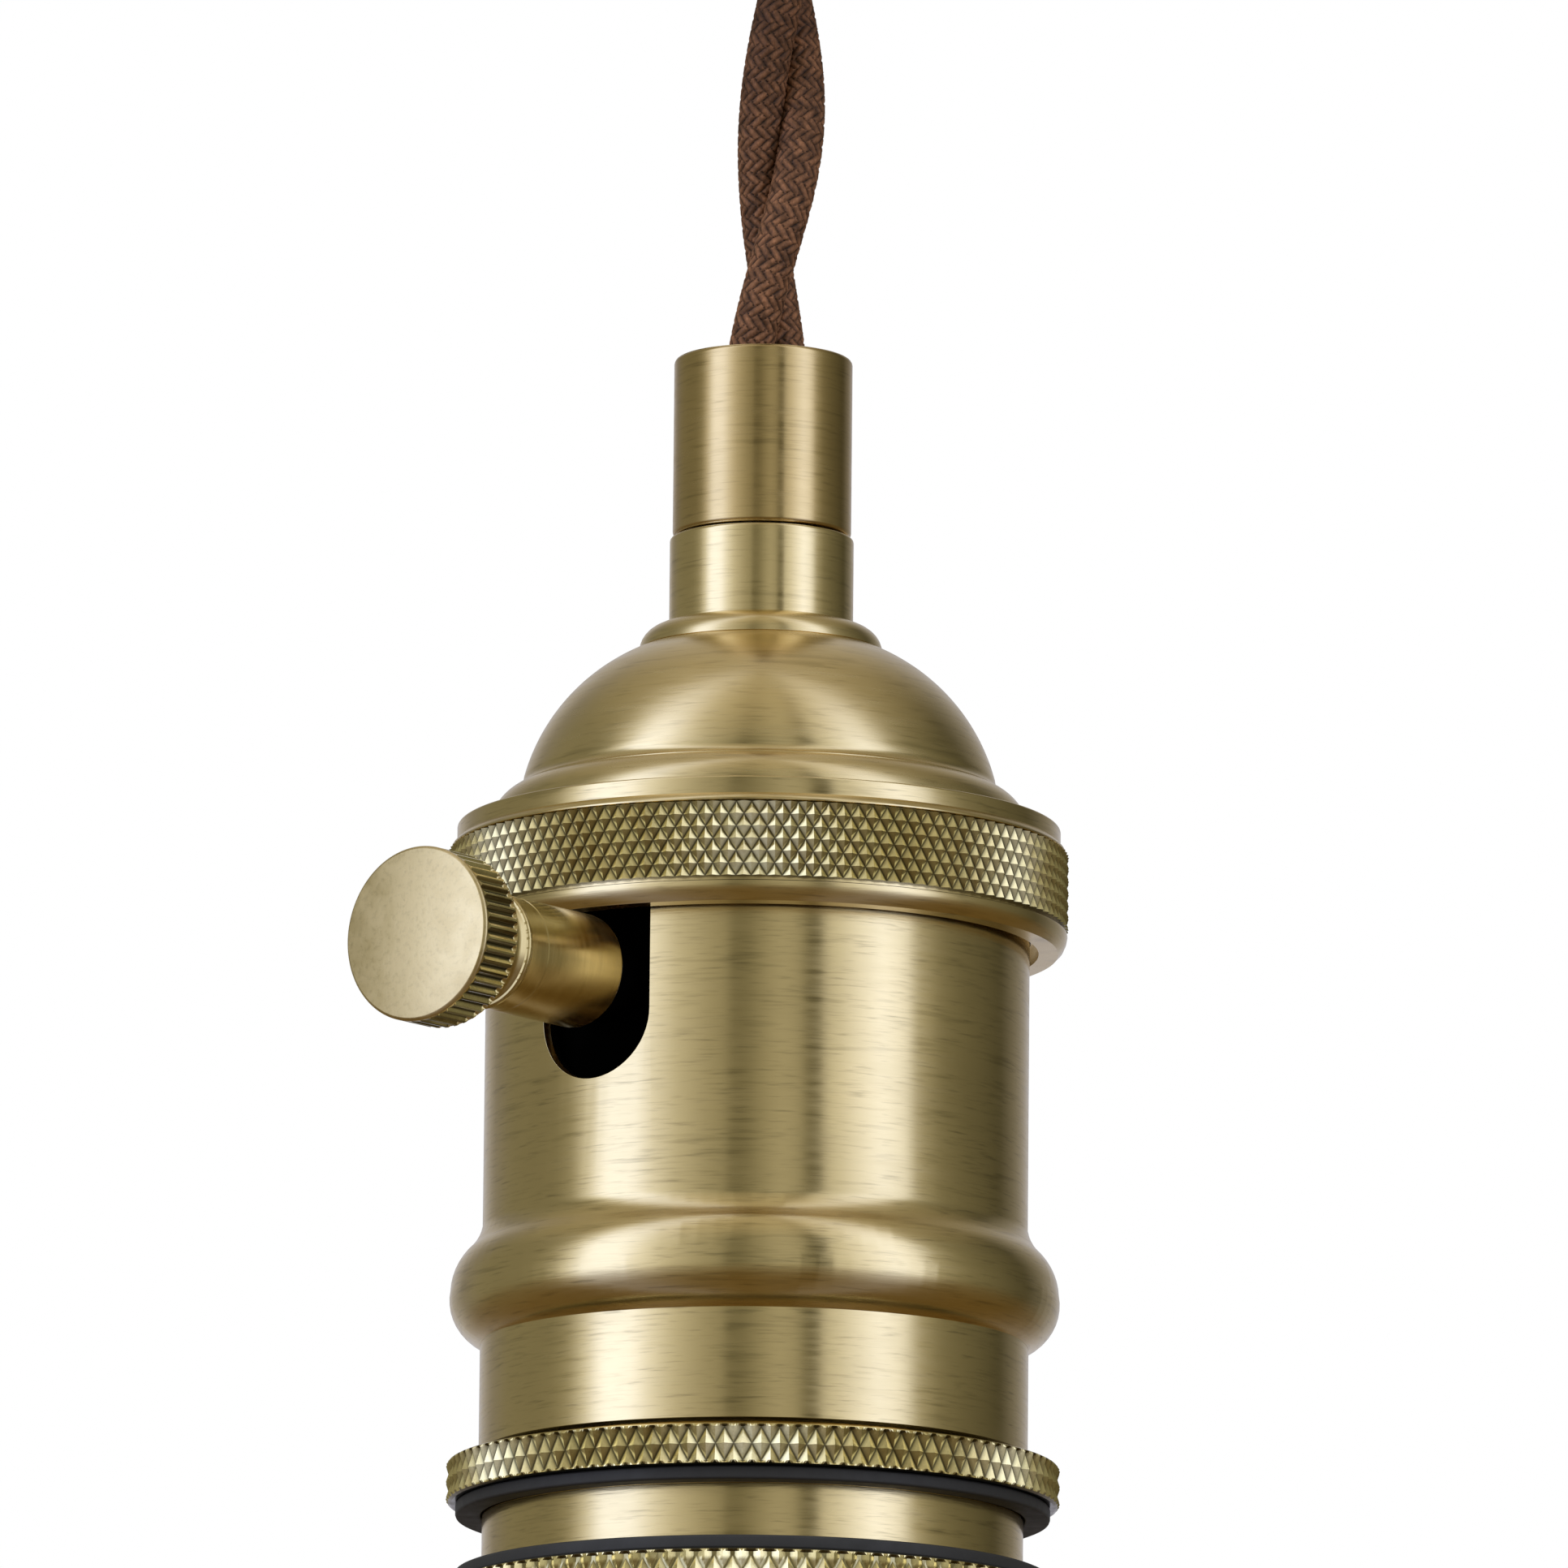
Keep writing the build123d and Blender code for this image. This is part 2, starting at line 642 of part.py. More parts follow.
def terminal_plate(side):
    """Flat plate under a terminal screw, where the conductor is clamped."""
    x0, x1 = sorted((side * (TERMINAL_X - 2.4), side * (TERMINAL_X + 2.2)))
    plate = block(x0, x1, -3.0, 5.2, COVER_TOP, COVER_TOP + STRIP)
    return plate - Pos(side * TERMINAL_X, 0, 0) * rod(1.55, COVER_TOP - 1, COVER_TOP + 2)


def make_terminal_screw(side):
    """Terminal screw through its plate into the switch housing."""
    return screw(side * TERMINAL_X, 0, COVER_TOP + STRIP, 7.0)


def make_liner():
    """Fibre insulating sleeve inside the shell, notched for the knob stem."""
    liner = tube(LINER_R, LINER_R - LINER_WALL, LIP_THICK + 0.1, LINER_TOP)
    middle = SLOT_BOTTOM + SLOT_WIDTH / 2
    notch = rod_y(SLOT_WIDTH / 2, -10, -LINER_R - 2, z=middle)
    notch += block(-SLOT_WIDTH / 2, SLOT_WIDTH / 2, -LINER_R - 2, -10, middle, LINER_TOP + 1)
    return liner - notch


def lamp_socket():
    nodes["socket_body"] = make_socket_body()
    nodes["screw_shell"] = make_screw_shell()
    nodes["shell_rivets"] = make_shell_rivets()
    nodes["centre_contact_foot"] = make_centre_foot()
    nodes["centre_contact_leaf"] = make_centre_leaf()
    nodes["side_contact_strap"] = make_side_strap() - Pos(-TERMINAL_X, 0, 0) * rod(1.55, 58, 63)
    nodes["live_contact"] = make_live_contact() - Pos(TERMINAL_X, 0, 0) * rod(1.55, 58, 63)
    nodes["live_terminal_screw"] = make_terminal_screw(1)
    nodes["neutral_terminal_screw"] = make_terminal_screw(-1)
    nodes["insulating_liner"] = make_liner()


# ---- switch -------------------------------------------------------------------------
def long_holes(radius, low, high):
    """Holes for the two housing screws."""
    holes = [
        Pos(x, y, low) * Cylinder(radius, high - low, align=(Align.CENTER, Align.CENTER, Align.MIN))
        for x, y in fastener_places()
    ]
    return holes[0] + holes[1]


def make_switch_housing():
    """Moulded switch housing with its cavity open upwards and a bearing at each end of the shaft."""
    low = BODY_TOP + 0.02
    body = rod(HOUSING_R, low, HOUSING_TOP)
    body -= block(-CAVITY_X, CAVITY_X, -CAVITY_Y, CAVITY_Y, CAVITY_LOW, HOUSING_TOP + 1)
    body -= rod_y(SHAFT_R + SHAFT_FIT, SHAFT_BACK + 0.2, 0)
    body -= rod_y(BUSH_R + 0.02, 0, -HOUSING_R - 1)
    body -= strap_slot(-STRAP_X, low - 1, HOUSING_TOP + 1)
    body -= block(-RISER_X - 0.5, -RISER_X + 0.5, -1.9, 2.7, low - 1, CAVITY_LOW + 1)
    body -= long_holes(1.55, low - 1, HOUSING_TOP + 1)
    for side in (-1, 1):
        body -= Pos(side * TERMINAL_X, 0, 0) * rod(1.55, 53, HOUSING_TOP + 1)
    return body


def make_switch_cover():
    """Lid over the switch cavity that carries the two terminals."""
    low = HOUSING_TOP + 0.02
    lid = rod(HOUSING_R, low, COVER_TOP)
    lid -= strap_slot(-STRAP_X, low - 1, COVER_TOP + 1)
    lid -= block(RISER_X - 0.5, RISER_X + 0.5, -1.9, 2.7, low - 1, COVER_TOP + 1)
    lid -= long_holes(1.55, low - 1, COVER_TOP + 1)
    for side in (-1, 1):
        lid -= Pos(side * TERMINAL_X, 0, 0) * rod(1.55, low - 1, COVER_TOP + 1)
    return lid


def make_housing_screws():
    """Long screws through cover and housing into the socket body."""
    screws = [screw(x, y, COVER_TOP, COVER_TOP - 28.5) for x, y in fastener_places()]
    return Compound(children=screws)


def make_cam():
    """Square detent cam with rounded corners, pinned on the shaft behind the contact bridge."""
    y0 = ROTOR_HALF + BRIDGE_THICK + 0.02
    side = 1.62 * CAM_R
    blank = extrude(RectangleRounded(side, side, 1.0), CAM_THICK)
    placed = Pos(0, y0 + CAM_THICK, KNOB_Z) * Rot(90, 0, 0) * blank
    return placed - rod_y(SHAFT_R + 0.02, y0 + CAM_THICK + 1, y0 - 1)


def make_detent_spring():
    """Flat spring under the cam, seated on two posts of the cavity floor."""
    reach = KNOB_Z - 0.5 * 1.62 * CAM_R * math.sqrt(2) - 0.5
    foot = CAVITY_LOW + 0.3
    points = [(-7.0, foot), (-5.6, foot), (-3.4, reach), (3.4, reach), (5.6, foot), (7.0, foot)]
    y0 = ROTOR_HALF + BRIDGE_THICK + 0.2
    return strip(points, y0, y0 + CAM_THICK - 0.4, 0.35)


def make_knob():
    """Turned knob: knurled head, conical flare, groove, bead and plain stem, with a blind bore."""
    def p(y, radius):
        return Vector(radius, y, 0)

    bore = SHAFT_R + 0.02
    bore_end = SHAFT_FRONT - 0.3
    edge = 0.35
    points = [
        p(KNOB_FACE, 0),
        p(KNOB_FACE, KNOB_HEAD_R - edge),
        p(KNOB_FACE + edge, KNOB_HEAD_R),
        p(KNOB_HEAD_BACK - edge, KNOB_HEAD_R),
        p(KNOB_HEAD_BACK, KNOB_HEAD_R - edge),
        p(KNOB_HEAD_BACK, KNOB_STEM_R + 0.9),
        p(KNOB_FLARE, KNOB_NECK_R + 0.3),
        p(KNOB_FLARE + 0.6, KNOB_NECK_R),
        p(KNOB_BEAD_Y - 0.6, KNOB_NECK_R),
        p(KNOB_BEAD_Y - 0.3, KNOB_BEAD_R),
        p(KNOB_BEAD_Y + 0.3, KNOB_BEAD_R),
        p(KNOB_BEAD_Y + 0.7, KNOB_STEM_R),
        p(KNOB_STEM_END - 0.2, KNOB_STEM_R),
        p(KNOB_STEM_END, KNOB_STEM_R - 0.2),
        p(KNOB_STEM_END, bore),
        p(bore_end, bore),
        p(bore_end, 0),
        p(KNOB_FACE, 0),
    ]
    return Pos(0, 0, KNOB_Z) * revolve(make_face(Wire(through(*points))), Axis.Y)


def switch():
    nodes["switch_housing"] = make_switch_housing()
    nodes["switch_cover"] = make_switch_cover()
    nodes["housing_screws"] = make_housing_screws()
    bush = rod_y(BUSH_R, -CAVITY_Y - 0.1, BUSH_FRONT)
    nodes["shaft_bush"] = bush - rod_y(SHAFT_R + SHAFT_FIT, 0, BUSH_FRONT - 1)
    nodes["switch_shaft"] = rod_y(SHAFT_R, SHAFT_BACK, SHAFT_FRONT)
    bored = rod_y(SHAFT_R + 0.02, 15, -15)
    nodes["switch_rotor"] = rod_y(ROTOR_R, ROTOR_HALF, -ROTOR_HALF) - bored
    bar = block(-2.4, 2.4, ROTOR_HALF + 0.02, ROTOR_HALF + BRIDGE_THICK, KNOB_Z - 8, KNOB_Z + 8)
    nodes["contact_bridge"] = (bar & rod_y(BRIDGE_R, 15, 0)) - bored
    nodes["detent_cam"] = make_cam()
    nodes["detent_spring"] = make_detent_spring()
    clip = rod_y(3.3, -ROTOR_HALF - 0.05, -ROTOR_HALF - 0.65) - bored
    nodes["rotor_clip"] = clip - block(-1.2, 1.2, -6, -3, KNOB_Z - 5, KNOB_Z)
    nodes["knob"] = make_knob()


# ---- ceiling fitting ----------------------------------------------------------------
def make_ceiling_cup():
    """Spun cup against the ceiling, with a central hole and two side screw holes."""
    bend = math.sqrt(0.5)
    inner_round = CUP_ROUND - CUP_WALL
    edge_x = CUP_R - CUP_ROUND
    edge_z = CUP_LOW + CUP_ROUND
    hole = NIPPLE_R + 0.05
    outline = through(at(hole, CUP_LOW), at(edge_x, CUP_LOW))
    outline.append(
        arc(
            at(edge_x, CUP_LOW),
            at(edge_x + CUP_ROUND * bend, edge_z - CUP_ROUND * bend),
            at(CUP_R, edge_z),
        )
    )
    outline += through(
        at(CUP_R, edge_z),
        at(CUP_R, CUP_TOP),
        at(CUP_R - CUP_WALL, CUP_TOP),
        at(CUP_R - CUP_WALL, edge_z),
    )
    outline.append(
        arc(
            at(CUP_R - CUP_WALL, edge_z),
            at(edge_x + inner_round * bend, edge_z - inner_round * bend),
            at(edge_x, CUP_LOW + CUP_WALL),
        )
    )
    outline += through(at(edge_x, CUP_LOW + CUP_WALL), at(hole, CUP_LOW + CUP_WALL), at(hole, CUP_LOW))
    cup = turned(*outline)
    cup -= Pos(0, 0, SIDE_SCREW_Z) * Rot(0, 90, 0) * Cylinder(1.6, 2 * CUP_R + 4)
    return Pos(CEILING_X, CEILING_Y, 0) * cup


def make_bracket():
    """Steel crossbar screwed to the ceiling, with a turned-down ear at each end for the cup's screws."""
    half = CUP_R - CUP_WALL - 0.4
    bar = block(-half, half, -BRACKET_WIDTH / 2, BRACKET_WIDTH / 2, CUP_TOP - BRACKET_THICK, CUP_TOP)
    for side in (-1, 1):
        x0, x1 = sorted((side * half, side * (half - BRACKET_THICK)))
        bar += block(x0, x1, -4, 4, CUP_TOP - EAR_DEPTH, CUP_TOP - 0.5)
        bar -= Pos(side * BRACKET_HOLE_SPACING / 2, 0, 0) * rod(BRACKET_HOLE_R, CUP_TOP - 3, CUP_TOP + 1)
    bar &= rod(CUP_R - CUP_WALL - 0.15, CUP_TOP - EAR_DEPTH - 1, CUP_TOP + 1)
    bar -= Pos(0, 0, SIDE_SCREW_Z) * Rot(0, 90, 0) * Cylinder(1.3, 2 * CUP_R + 4)
    return Pos(CEILING_X, CEILING_Y, 0) * bar


def make_side_screws():
    """Knurled thumb screws through the cup's side into the bracket's ears."""
    screws = []
    for side in (-1, 1):
        shank = Pos(side * (CUP_R - 2.3), 0, 0) * Rot(0, 90, 0) * Cylinder(1.25, 5.4)
        head = Pos(side * (CUP_R + 1.3), 0, 0) * Rot(0, 90, 0) * Cylinder(2.6, 2.4)
        screws.append(Pos(CEILING_X, CEILING_Y, SIDE_SCREW_Z) * (shank + head))
    return Compound(children=screws)


def make_terminal_block():
    """Two-way screw terminal block under the bracket, open on the cord's side."""
    top = CUP_TOP - BRACKET_THICK - 0.02
    body = block(-9, 9, 8, 18, top - 9, top)
    for x in (-4.5, 4.5):
        body -= rod_y(1.4, 13, 5, x=x, z=top - 4.5)
        body -= Pos(x, 13, 0) * rod(1.5, top - 10, top - 6.5)
    return Pos(CEILING_X, CEILING_Y, 0) * body


def make_ceiling_leads():
    """Insulated conductors from the cord's top to the terminal block."""
    leads = []
    top = CUP_TOP - BRACKET_THICK - 0.02
    end_z = CORD_ROUTE[-1][2]
    for side in (-1, 1):
        route = [
            Vector(CEILING_X + side * LEAD_OFFSET, CEILING_Y, end_z + 0.02),
            Vector(CEILING_X + side * LEAD_OFFSET, CEILING_Y, top - 8),
            Vector(CEILING_X + side * 4.5, CEILING_Y + 3, top - 4.5),
            Vector(CEILING_X + side * 4.5, CEILING_Y + 10, top - 4.5),
        ]
        path = FilletPolyline(*route, radius=[2.0, 1.5])
        start = Plane(origin=route[0], z_dir=(0, 0, 1))
        leads.append(sweep(start * Circle(LEAD_R), path=path))
    return Compound(children=leads)


def ceiling_fitting():
    nodes["ceiling_cup"] = make_ceiling_cup()
    nodes["ceiling_bracket"] = make_bracket()
    nodes["ceiling_side_screws"] = make_side_screws()
    nodes["ceiling_nipple"] = Pos(CEILING_X, CEILING_Y, 0) * tube(
        NIPPLE_R, NIPPLE_BORE_R, CEILING_NIPPLE_LOW, CEILING_NIPPLE_TOP
    )
    nodes["ceiling_nut"] = hex_nut(CUP_LOW + CUP_WALL, NUT_THICK, NIPPLE_R + FIT, CEILING_X, CEILING_Y)
    grip_top = CUP_LOW - 0.02
    thread = grip_top - CEILING_NIPPLE_LOW + 0.1
    nodes["ceiling_grip"] = make_grip(
        CEILING_X, CEILING_Y, CEILING_GRIP_R, CEILING_GRIP_LOW, grip_top, False, thread
    )
    nodes["ceiling_terminal_block"] = make_terminal_block()
    nodes["ceiling_leads"] = make_ceiling_leads()


# ---- build --------------------------------------------------------------------------
outer_brass()
cord_entry()
lamp_socket()
switch()
ceiling_fitting()

for name, shape in nodes.items():
    export_step(shape, f"parts/{name}.step")
print(len(nodes), "nodes")
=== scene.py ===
"""Looks for a brass turn-knob lampholder that hangs on a twisted braided cord.

The frame and the camera are in metres, in the part's own frame: lamp axis along Z, knob along -Y.
Outlines of turned pieces are closed lists of (radius, height) points, in millimetres.
"""

import json
import math

import bmesh
import bpy
import numpy as np
from mathutils import Matrix, Vector

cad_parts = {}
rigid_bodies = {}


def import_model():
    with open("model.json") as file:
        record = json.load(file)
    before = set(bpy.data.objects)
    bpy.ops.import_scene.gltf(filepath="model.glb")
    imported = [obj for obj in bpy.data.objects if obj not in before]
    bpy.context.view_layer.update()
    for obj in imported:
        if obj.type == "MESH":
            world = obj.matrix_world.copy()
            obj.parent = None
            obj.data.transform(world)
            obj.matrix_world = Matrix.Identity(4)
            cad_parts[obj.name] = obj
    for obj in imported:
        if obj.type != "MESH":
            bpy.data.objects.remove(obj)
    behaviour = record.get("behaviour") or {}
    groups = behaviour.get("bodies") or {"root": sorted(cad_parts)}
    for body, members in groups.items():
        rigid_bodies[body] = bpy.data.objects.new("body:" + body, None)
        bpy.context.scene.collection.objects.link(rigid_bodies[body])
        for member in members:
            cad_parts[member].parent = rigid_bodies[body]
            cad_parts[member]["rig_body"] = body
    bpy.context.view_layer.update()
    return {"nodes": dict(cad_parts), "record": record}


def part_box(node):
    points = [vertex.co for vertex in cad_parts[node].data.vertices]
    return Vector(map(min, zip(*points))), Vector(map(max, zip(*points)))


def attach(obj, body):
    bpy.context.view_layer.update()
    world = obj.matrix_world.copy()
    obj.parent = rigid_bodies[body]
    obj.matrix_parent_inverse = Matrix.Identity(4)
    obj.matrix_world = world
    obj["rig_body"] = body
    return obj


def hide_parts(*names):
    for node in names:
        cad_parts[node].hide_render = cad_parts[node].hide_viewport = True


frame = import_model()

MM = 0.001
TAU = 2 * math.pi

# Camera
VIEW_AZIMUTH = math.radians(37.0)
VIEW_RISE = math.radians(10.5)
VIEW_ROLL = math.radians(0.53)
VIEW_DISTANCE = 1.224
VIEW_SIDE = 1.79 * MM
VIEW_HEIGHT = 66.6 * MM
LENS = 384.0
SENSOR = 36.0

# Cord
CORD_ROUTE = [
    (0.0, 0.0, 0.089),
    (0.0002, 0.00015, 0.102),
    (0.001, 0.00075, 0.116),
    (0.00115, 0.0009, 0.130),
    (0.0011, 0.0008, 0.143),
]
CORE_RADIUS = 1.68 * MM
CORE_SPREAD = 1.52 * MM
TWIST_PITCH = 44.0 * MM
CROSSING_HEIGHT = 105.0 * MM
BRAID_COLUMNS = 12
BRAID_RISE = 0.82 * MM
BRAID_DEPTH = 0.2 * MM
BRAID_AROUND = 96
BRAID_STEP = 0.07 * MM

# Knurls: how many diamonds round, a diamond's height and its depth, in mm
LOCK_KNURL = (126, 1.8, 0.34)
SHADE_KNURL = (105, 2.45, 0.4)
KNURL_SAMPLES = 8

# Threads: pitch and depth, in mm
SKIRT_THREAD = (2.0, 0.28)
LAMP_THREAD = (3.63, 0.7)
NIPPLE_THREAD = (1.0, 0.4)
THREAD_STEPS = 96

# Knob, in mm along the shaft from the knob's face
FLUTES = 48
FLUTE_SAMPLES = 12
FLUTE_WIDTH = 0.56
FLUTE_DEPTH = 0.36
FLUTE_START = 0.62
FLUTE_END = 3.6

# Lock ring: heights in mm of the plain foot below its knurl and of the rim above it
LOCK_FOOT_HEIGHT = 1.75
LOCK_RIM_HEIGHT = 1.95

# How far from a face's radius a point may lie and still belong to it, in mm
ON_FACE = 0.01

# Edges of carried-over shapes that are sharper than this get broken; in degrees
SHARP_EDGE = 40.0

# CAD nodes shown with broken edges: the piece's name, the edge's width in mm and the look
ROUNDED = {
    "neck_collar": ("turned_collar", 0.12, "neck_brass"),
    "cord_grip": ("turned_cord_grip", 0.3, "grip_brass"),
    "grip_collet": ("split_collet", 0.12, "nylon"),
    "socket_body": ("moulded_socket", 0.25, "phenolic"),
    # The switch housing, liner and shaft bush take a glossless near-black: painted shade for the
    # inside of the slot
    "switch_housing": ("moulded_housing", 0.25, "slot_shade_black"),
    "insulating_liner": ("fibre_liner", 0.04, "slot_shade_black"),
    "shaft_bush": ("shaft_guide", 0.15, "slot_shade_black"),
    "upper_gasket": ("upper_seal", 0.2, "rubber"),
    "lower_gasket": ("lower_seal", 0.2, "rubber"),
    "nipple_nut": ("hexagon_nut", 0.12, "steel"),
    "nipple_washer": ("flat_washer", 0.08, "steel"),
    "ceiling_cup": ("spun_ceiling_cup", 0.2, "smooth_brass"),
    "ceiling_grip": ("turned_ceiling_grip", 0.3, "smooth_brass"),
    "ceiling_nut": ("ceiling_hexagon_nut", 0.12, "steel"),
    "ceiling_bracket": ("pressed_bracket", 0.15, "steel"),
    "ceiling_side_screws": ("side_screws", 0.12, "smooth_brass"),
    "ceiling_terminal_block": ("terminal_block", 0.5, "nylon"),
    "detent_cam": ("moulded_cam", 0.15, "nylon"),
    "switch_rotor": ("moulded_rotor", 0.2, "phenolic"),
    "switch_cover": ("moulded_cover", 0.2, "phenolic"),
}

# Softened nodes inside the shell that stay out of its mirror reflections, so that the brass
# shows the studio's panels; the knob, the switch shaft and the ceiling's pieces do the same
UNREFLECTED = (
    "switch_housing",
    "insulating_liner",
    "socket_body",
    "switch_cover",
    "shaft_bush",
    "switch_rotor",
    "detent_cam",
)

# Material colours
BRASS = (0.80, 0.652, 0.35)
# Lighter copy of the brass for knurls and flutes: painted light on their crowns
LIT_KNURL_BRASS = (1.0, 0.85, 0.44)
# Darker copy of the brass for the knob's sides and stem: painted shade
SHADED_KNOB_BRASS = (0.68, 0.54, 0.25)
GRIP_BRASS = (0.66, 0.50, 0.24)
CORD_BROWN = (0.19, 0.088, 0.043)
# Glossless near-black that stands for the shade inside the slot: painted shade
SLOT_SHADE_COLOUR = (0.0012, 0.0011, 0.001)


# ---- small helpers --------------------------------------------------------------------
def node_mesh(name):
    return frame["nodes"][name]


def link(name, mesh):
    piece = bpy.data.objects.new(name, mesh)
    bpy.context.scene.collection.objects.link(piece)
    return piece


def stand_for(piece, node):
    """The piece is shown in place of a CAD node and moves with its body."""
    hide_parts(node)
    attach(piece, frame["nodes"][node]["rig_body"])
    return piece


def span(node):
    """Lowest height, highest height and outer radius of an upright round node, in mm."""
    low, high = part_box(node)
    return low[2] / MM, high[2] / MM, (high[0] - low[0]) / 2 / MM


LOCK_SPAN = span("lock_ring")


def crease(mesh, smooth_angle):
    """Smooth shading with sharp edges above an angle."""
    mesh.shade_smooth()
    mesh.set_sharp_from_angle(angle=math.radians(smooth_angle))


def mesh_from(name, vertices, faces, smooth_angle=40.0):
    """A piece from vertices in mm and faces, with merged seams and creases kept by angle."""
    mesh = bpy.data.meshes.new(name)
    mesh.from_pydata([(x * MM, y * MM, z * MM) for x, y, z in vertices], [], faces)
    grid = bmesh.new()
    grid.from_mesh(mesh)
    bmesh.ops.remove_doubles(grid, verts=grid.verts, dist=1e-7)
    bmesh.ops.recalc_face_normals(grid, faces=grid.faces)
    grid.to_mesh(mesh)
    grid.free()
    crease(mesh, smooth_angle)
    return link(name, mesh)


def upright(x=0.0, y=0.0):
    """Placing rule for pieces turned about a vertical axis."""

    def place(radius, turn, height):
        return x + radius * math.cos(turn), y + radius * math.sin(turn), height

    return place


def turned_grid(outline, steps, relief, place):
    """Vertices and faces of a closed outline revolved about an axis; relief adds to the radius.

    Where there is relief, each cell is split along the diagonal that keeps its creases crisp.
    """
    count = len(outline)
    heights = {}

    def raised(step, i):
        key = (step % steps, i % count)
        if key not in heights:
            radius, height = outline[key[1]]
            heights[key] = relief(TAU * key[0] / steps, radius, height) if relief else 0.0
        return heights[key]

    vertices, faces = [], []
    for step in range(steps):
        for i, (radius, height) in enumerate(outline):
            vertices.append(place(radius + raised(step, i), TAU * step / steps, height))
    for step in range(steps):
        here, ahead = step * count, (step + 1) % steps * count
        for i in range(count):
            j = (i + 1) % count
            if outline[i][0] == 0 and outline[j][0] == 0:
                continue
            a, b, c, d = here + i, here + j, ahead + j, ahead + i
            one = raised(step, i) + raised(step + 1, j)
            other = raised(step, j) + raised(step + 1, i)
            if abs(one - other) < 1e-6:
                faces.append((a, b, c, d))
                continue
            radius = (outline[i][0] + outline[j][0]) / 2
            height = (outline[i][1] + outline[j][1]) / 2
            middle = 2 * relief(TAU * (step + 0.5) / steps, radius, height)
            if abs(one - middle) < abs(other - middle):
                faces += [(a, b, c), (a, c, d)]
            else:
                faces += [(a, b, d), (b, c, d)]
    return vertices, faces


def turned(name, outline, steps, relief=None, smooth_angle=40.0, place=None):
    """A piece revolved from a closed outline."""
    vertices, faces = turned_grid(outline, steps, relief, place or upright())
    return mesh_from(name, vertices, faces, smooth_angle)


def arc_points(centre, radius, start, end, count):
    """Points of a round stretch of an outline; angles in degrees from outward towards up."""
    points = []
    for i in range(count + 1):
        angle = math.radians(start + (end - start) * i / count)
        points.append((centre[0] + radius * math.cos(angle), centre[1] + radius * math.sin(angle)))
    return points


def spread(start, end, count):
    """Evenly spaced points of a straight stretch of an outline, its end left out."""
    return [
        (start[0] + (end[0] - start[0]) * i / count, start[1] + (end[1] - start[1]) * i / count)
        for i in range(count)
    ]


def triangle_wave(x):
    """0 at whole numbers, 1 halfway between them."""
    return 1 - abs(2 * (x - math.floor(x)) - 1)


# ---- camera ---------------------------------------------------------------------------
def make_camera():
    """Looks up at the lampholder from a little below, over a long lens."""
    right = Vector((math.cos(VIEW_AZIMUTH), math.sin(VIEW_AZIMUTH), 0))
    level = Vector((-math.sin(VIEW_AZIMUTH), math.cos(VIEW_AZIMUTH), 0))
    ahead = level * math.cos(VIEW_RISE) + Vector((0, 0, math.sin(VIEW_RISE)))
    up = right.cross(ahead)
    rolled_right = right * math.cos(VIEW_ROLL) + up * math.sin(VIEW_ROLL)
    rolled_up = up * math.cos(VIEW_ROLL) - right * math.sin(VIEW_ROLL)
    target = Vector((0, 0, VIEW_HEIGHT)) + right * VIEW_SIDE
    camera_data = bpy.data.cameras.new("camera")
    camera_data.lens = LENS
    camera_data.sensor_width = SENSOR
    camera_data.clip_start = 0.01
    camera = bpy.data.objects.new("camera", camera_data)
    axes = Matrix((rolled_right, rolled_up, -ahead)).transposed().to_4x4()
    camera.matrix_world = Matrix.Translation(target - ahead * VIEW_DISTANCE) @ axes
    bpy.context.scene.collection.objects.link(camera)
    bpy.context.scene.camera = camera


# ---- cord -----------------------------------------------------------------------------
def cord_line():
    """Points of the cord's centre line, read from the smooth curve through its route."""
    curve = bpy.data.curves.new("cord_route", "CURVE")
    curve.dimensions = "3D"
    spline = curve.splines.new("NURBS")
    spline.points.add(len(CORD_ROUTE) - 1)
    for point, place in zip(spline.points, CORD_ROUTE):
        point.co = (*place, 1)
    spline.order_u = 3
    spline.use_endpoint_u = True
    spline.resolution_u = 24
    holder = bpy.data.objects.new("cord_route", curve)
    bpy.context.scene.collection.objects.link(holder)
    graph = bpy.context.evaluated_depsgraph_get()
    line = bpy.data.meshes.new_from_object(holder.evaluated_get(graph))
    points = [v.co.copy() for v in line.vertices]
    bpy.data.objects.remove(holder)
    bpy.data.curves.remove(curve)
    bpy.data.meshes.remove(line)
    return points


def resample(points, step):
    """The same line with evenly spaced points, and each point's distance along it."""
    steps = [0.0]
    for a, b in zip(points, points[1:]):
        steps.append(steps[-1] + (b - a).length)
    count = int(steps[-1] / step)
    wanted = np.linspace(0, steps[-1], count + 1)
    table = np.array([tuple(p) for p in points])
    return np.stack([np.interp(wanted, steps, table[:, k]) for k in range(3)], axis=1), wanted


def braid_height(around, along):
    """Relief of a two-over two-under braid; around and along are counted in yarns."""
    rising = around + along
    falling = around - along
    over_rising = (math.floor(rising) - math.floor(falling)) % 4 in (0, 1)
    main, other = (rising, falling) if over_rising else (falling, rising)
    crown = math.sin(math.pi * (main - math.floor(main)))
    under = math.sin(math.pi * (other - math.floor(other)))
    return 0.12 + 0.88 * crown ** 0.6 - 0.12 * under


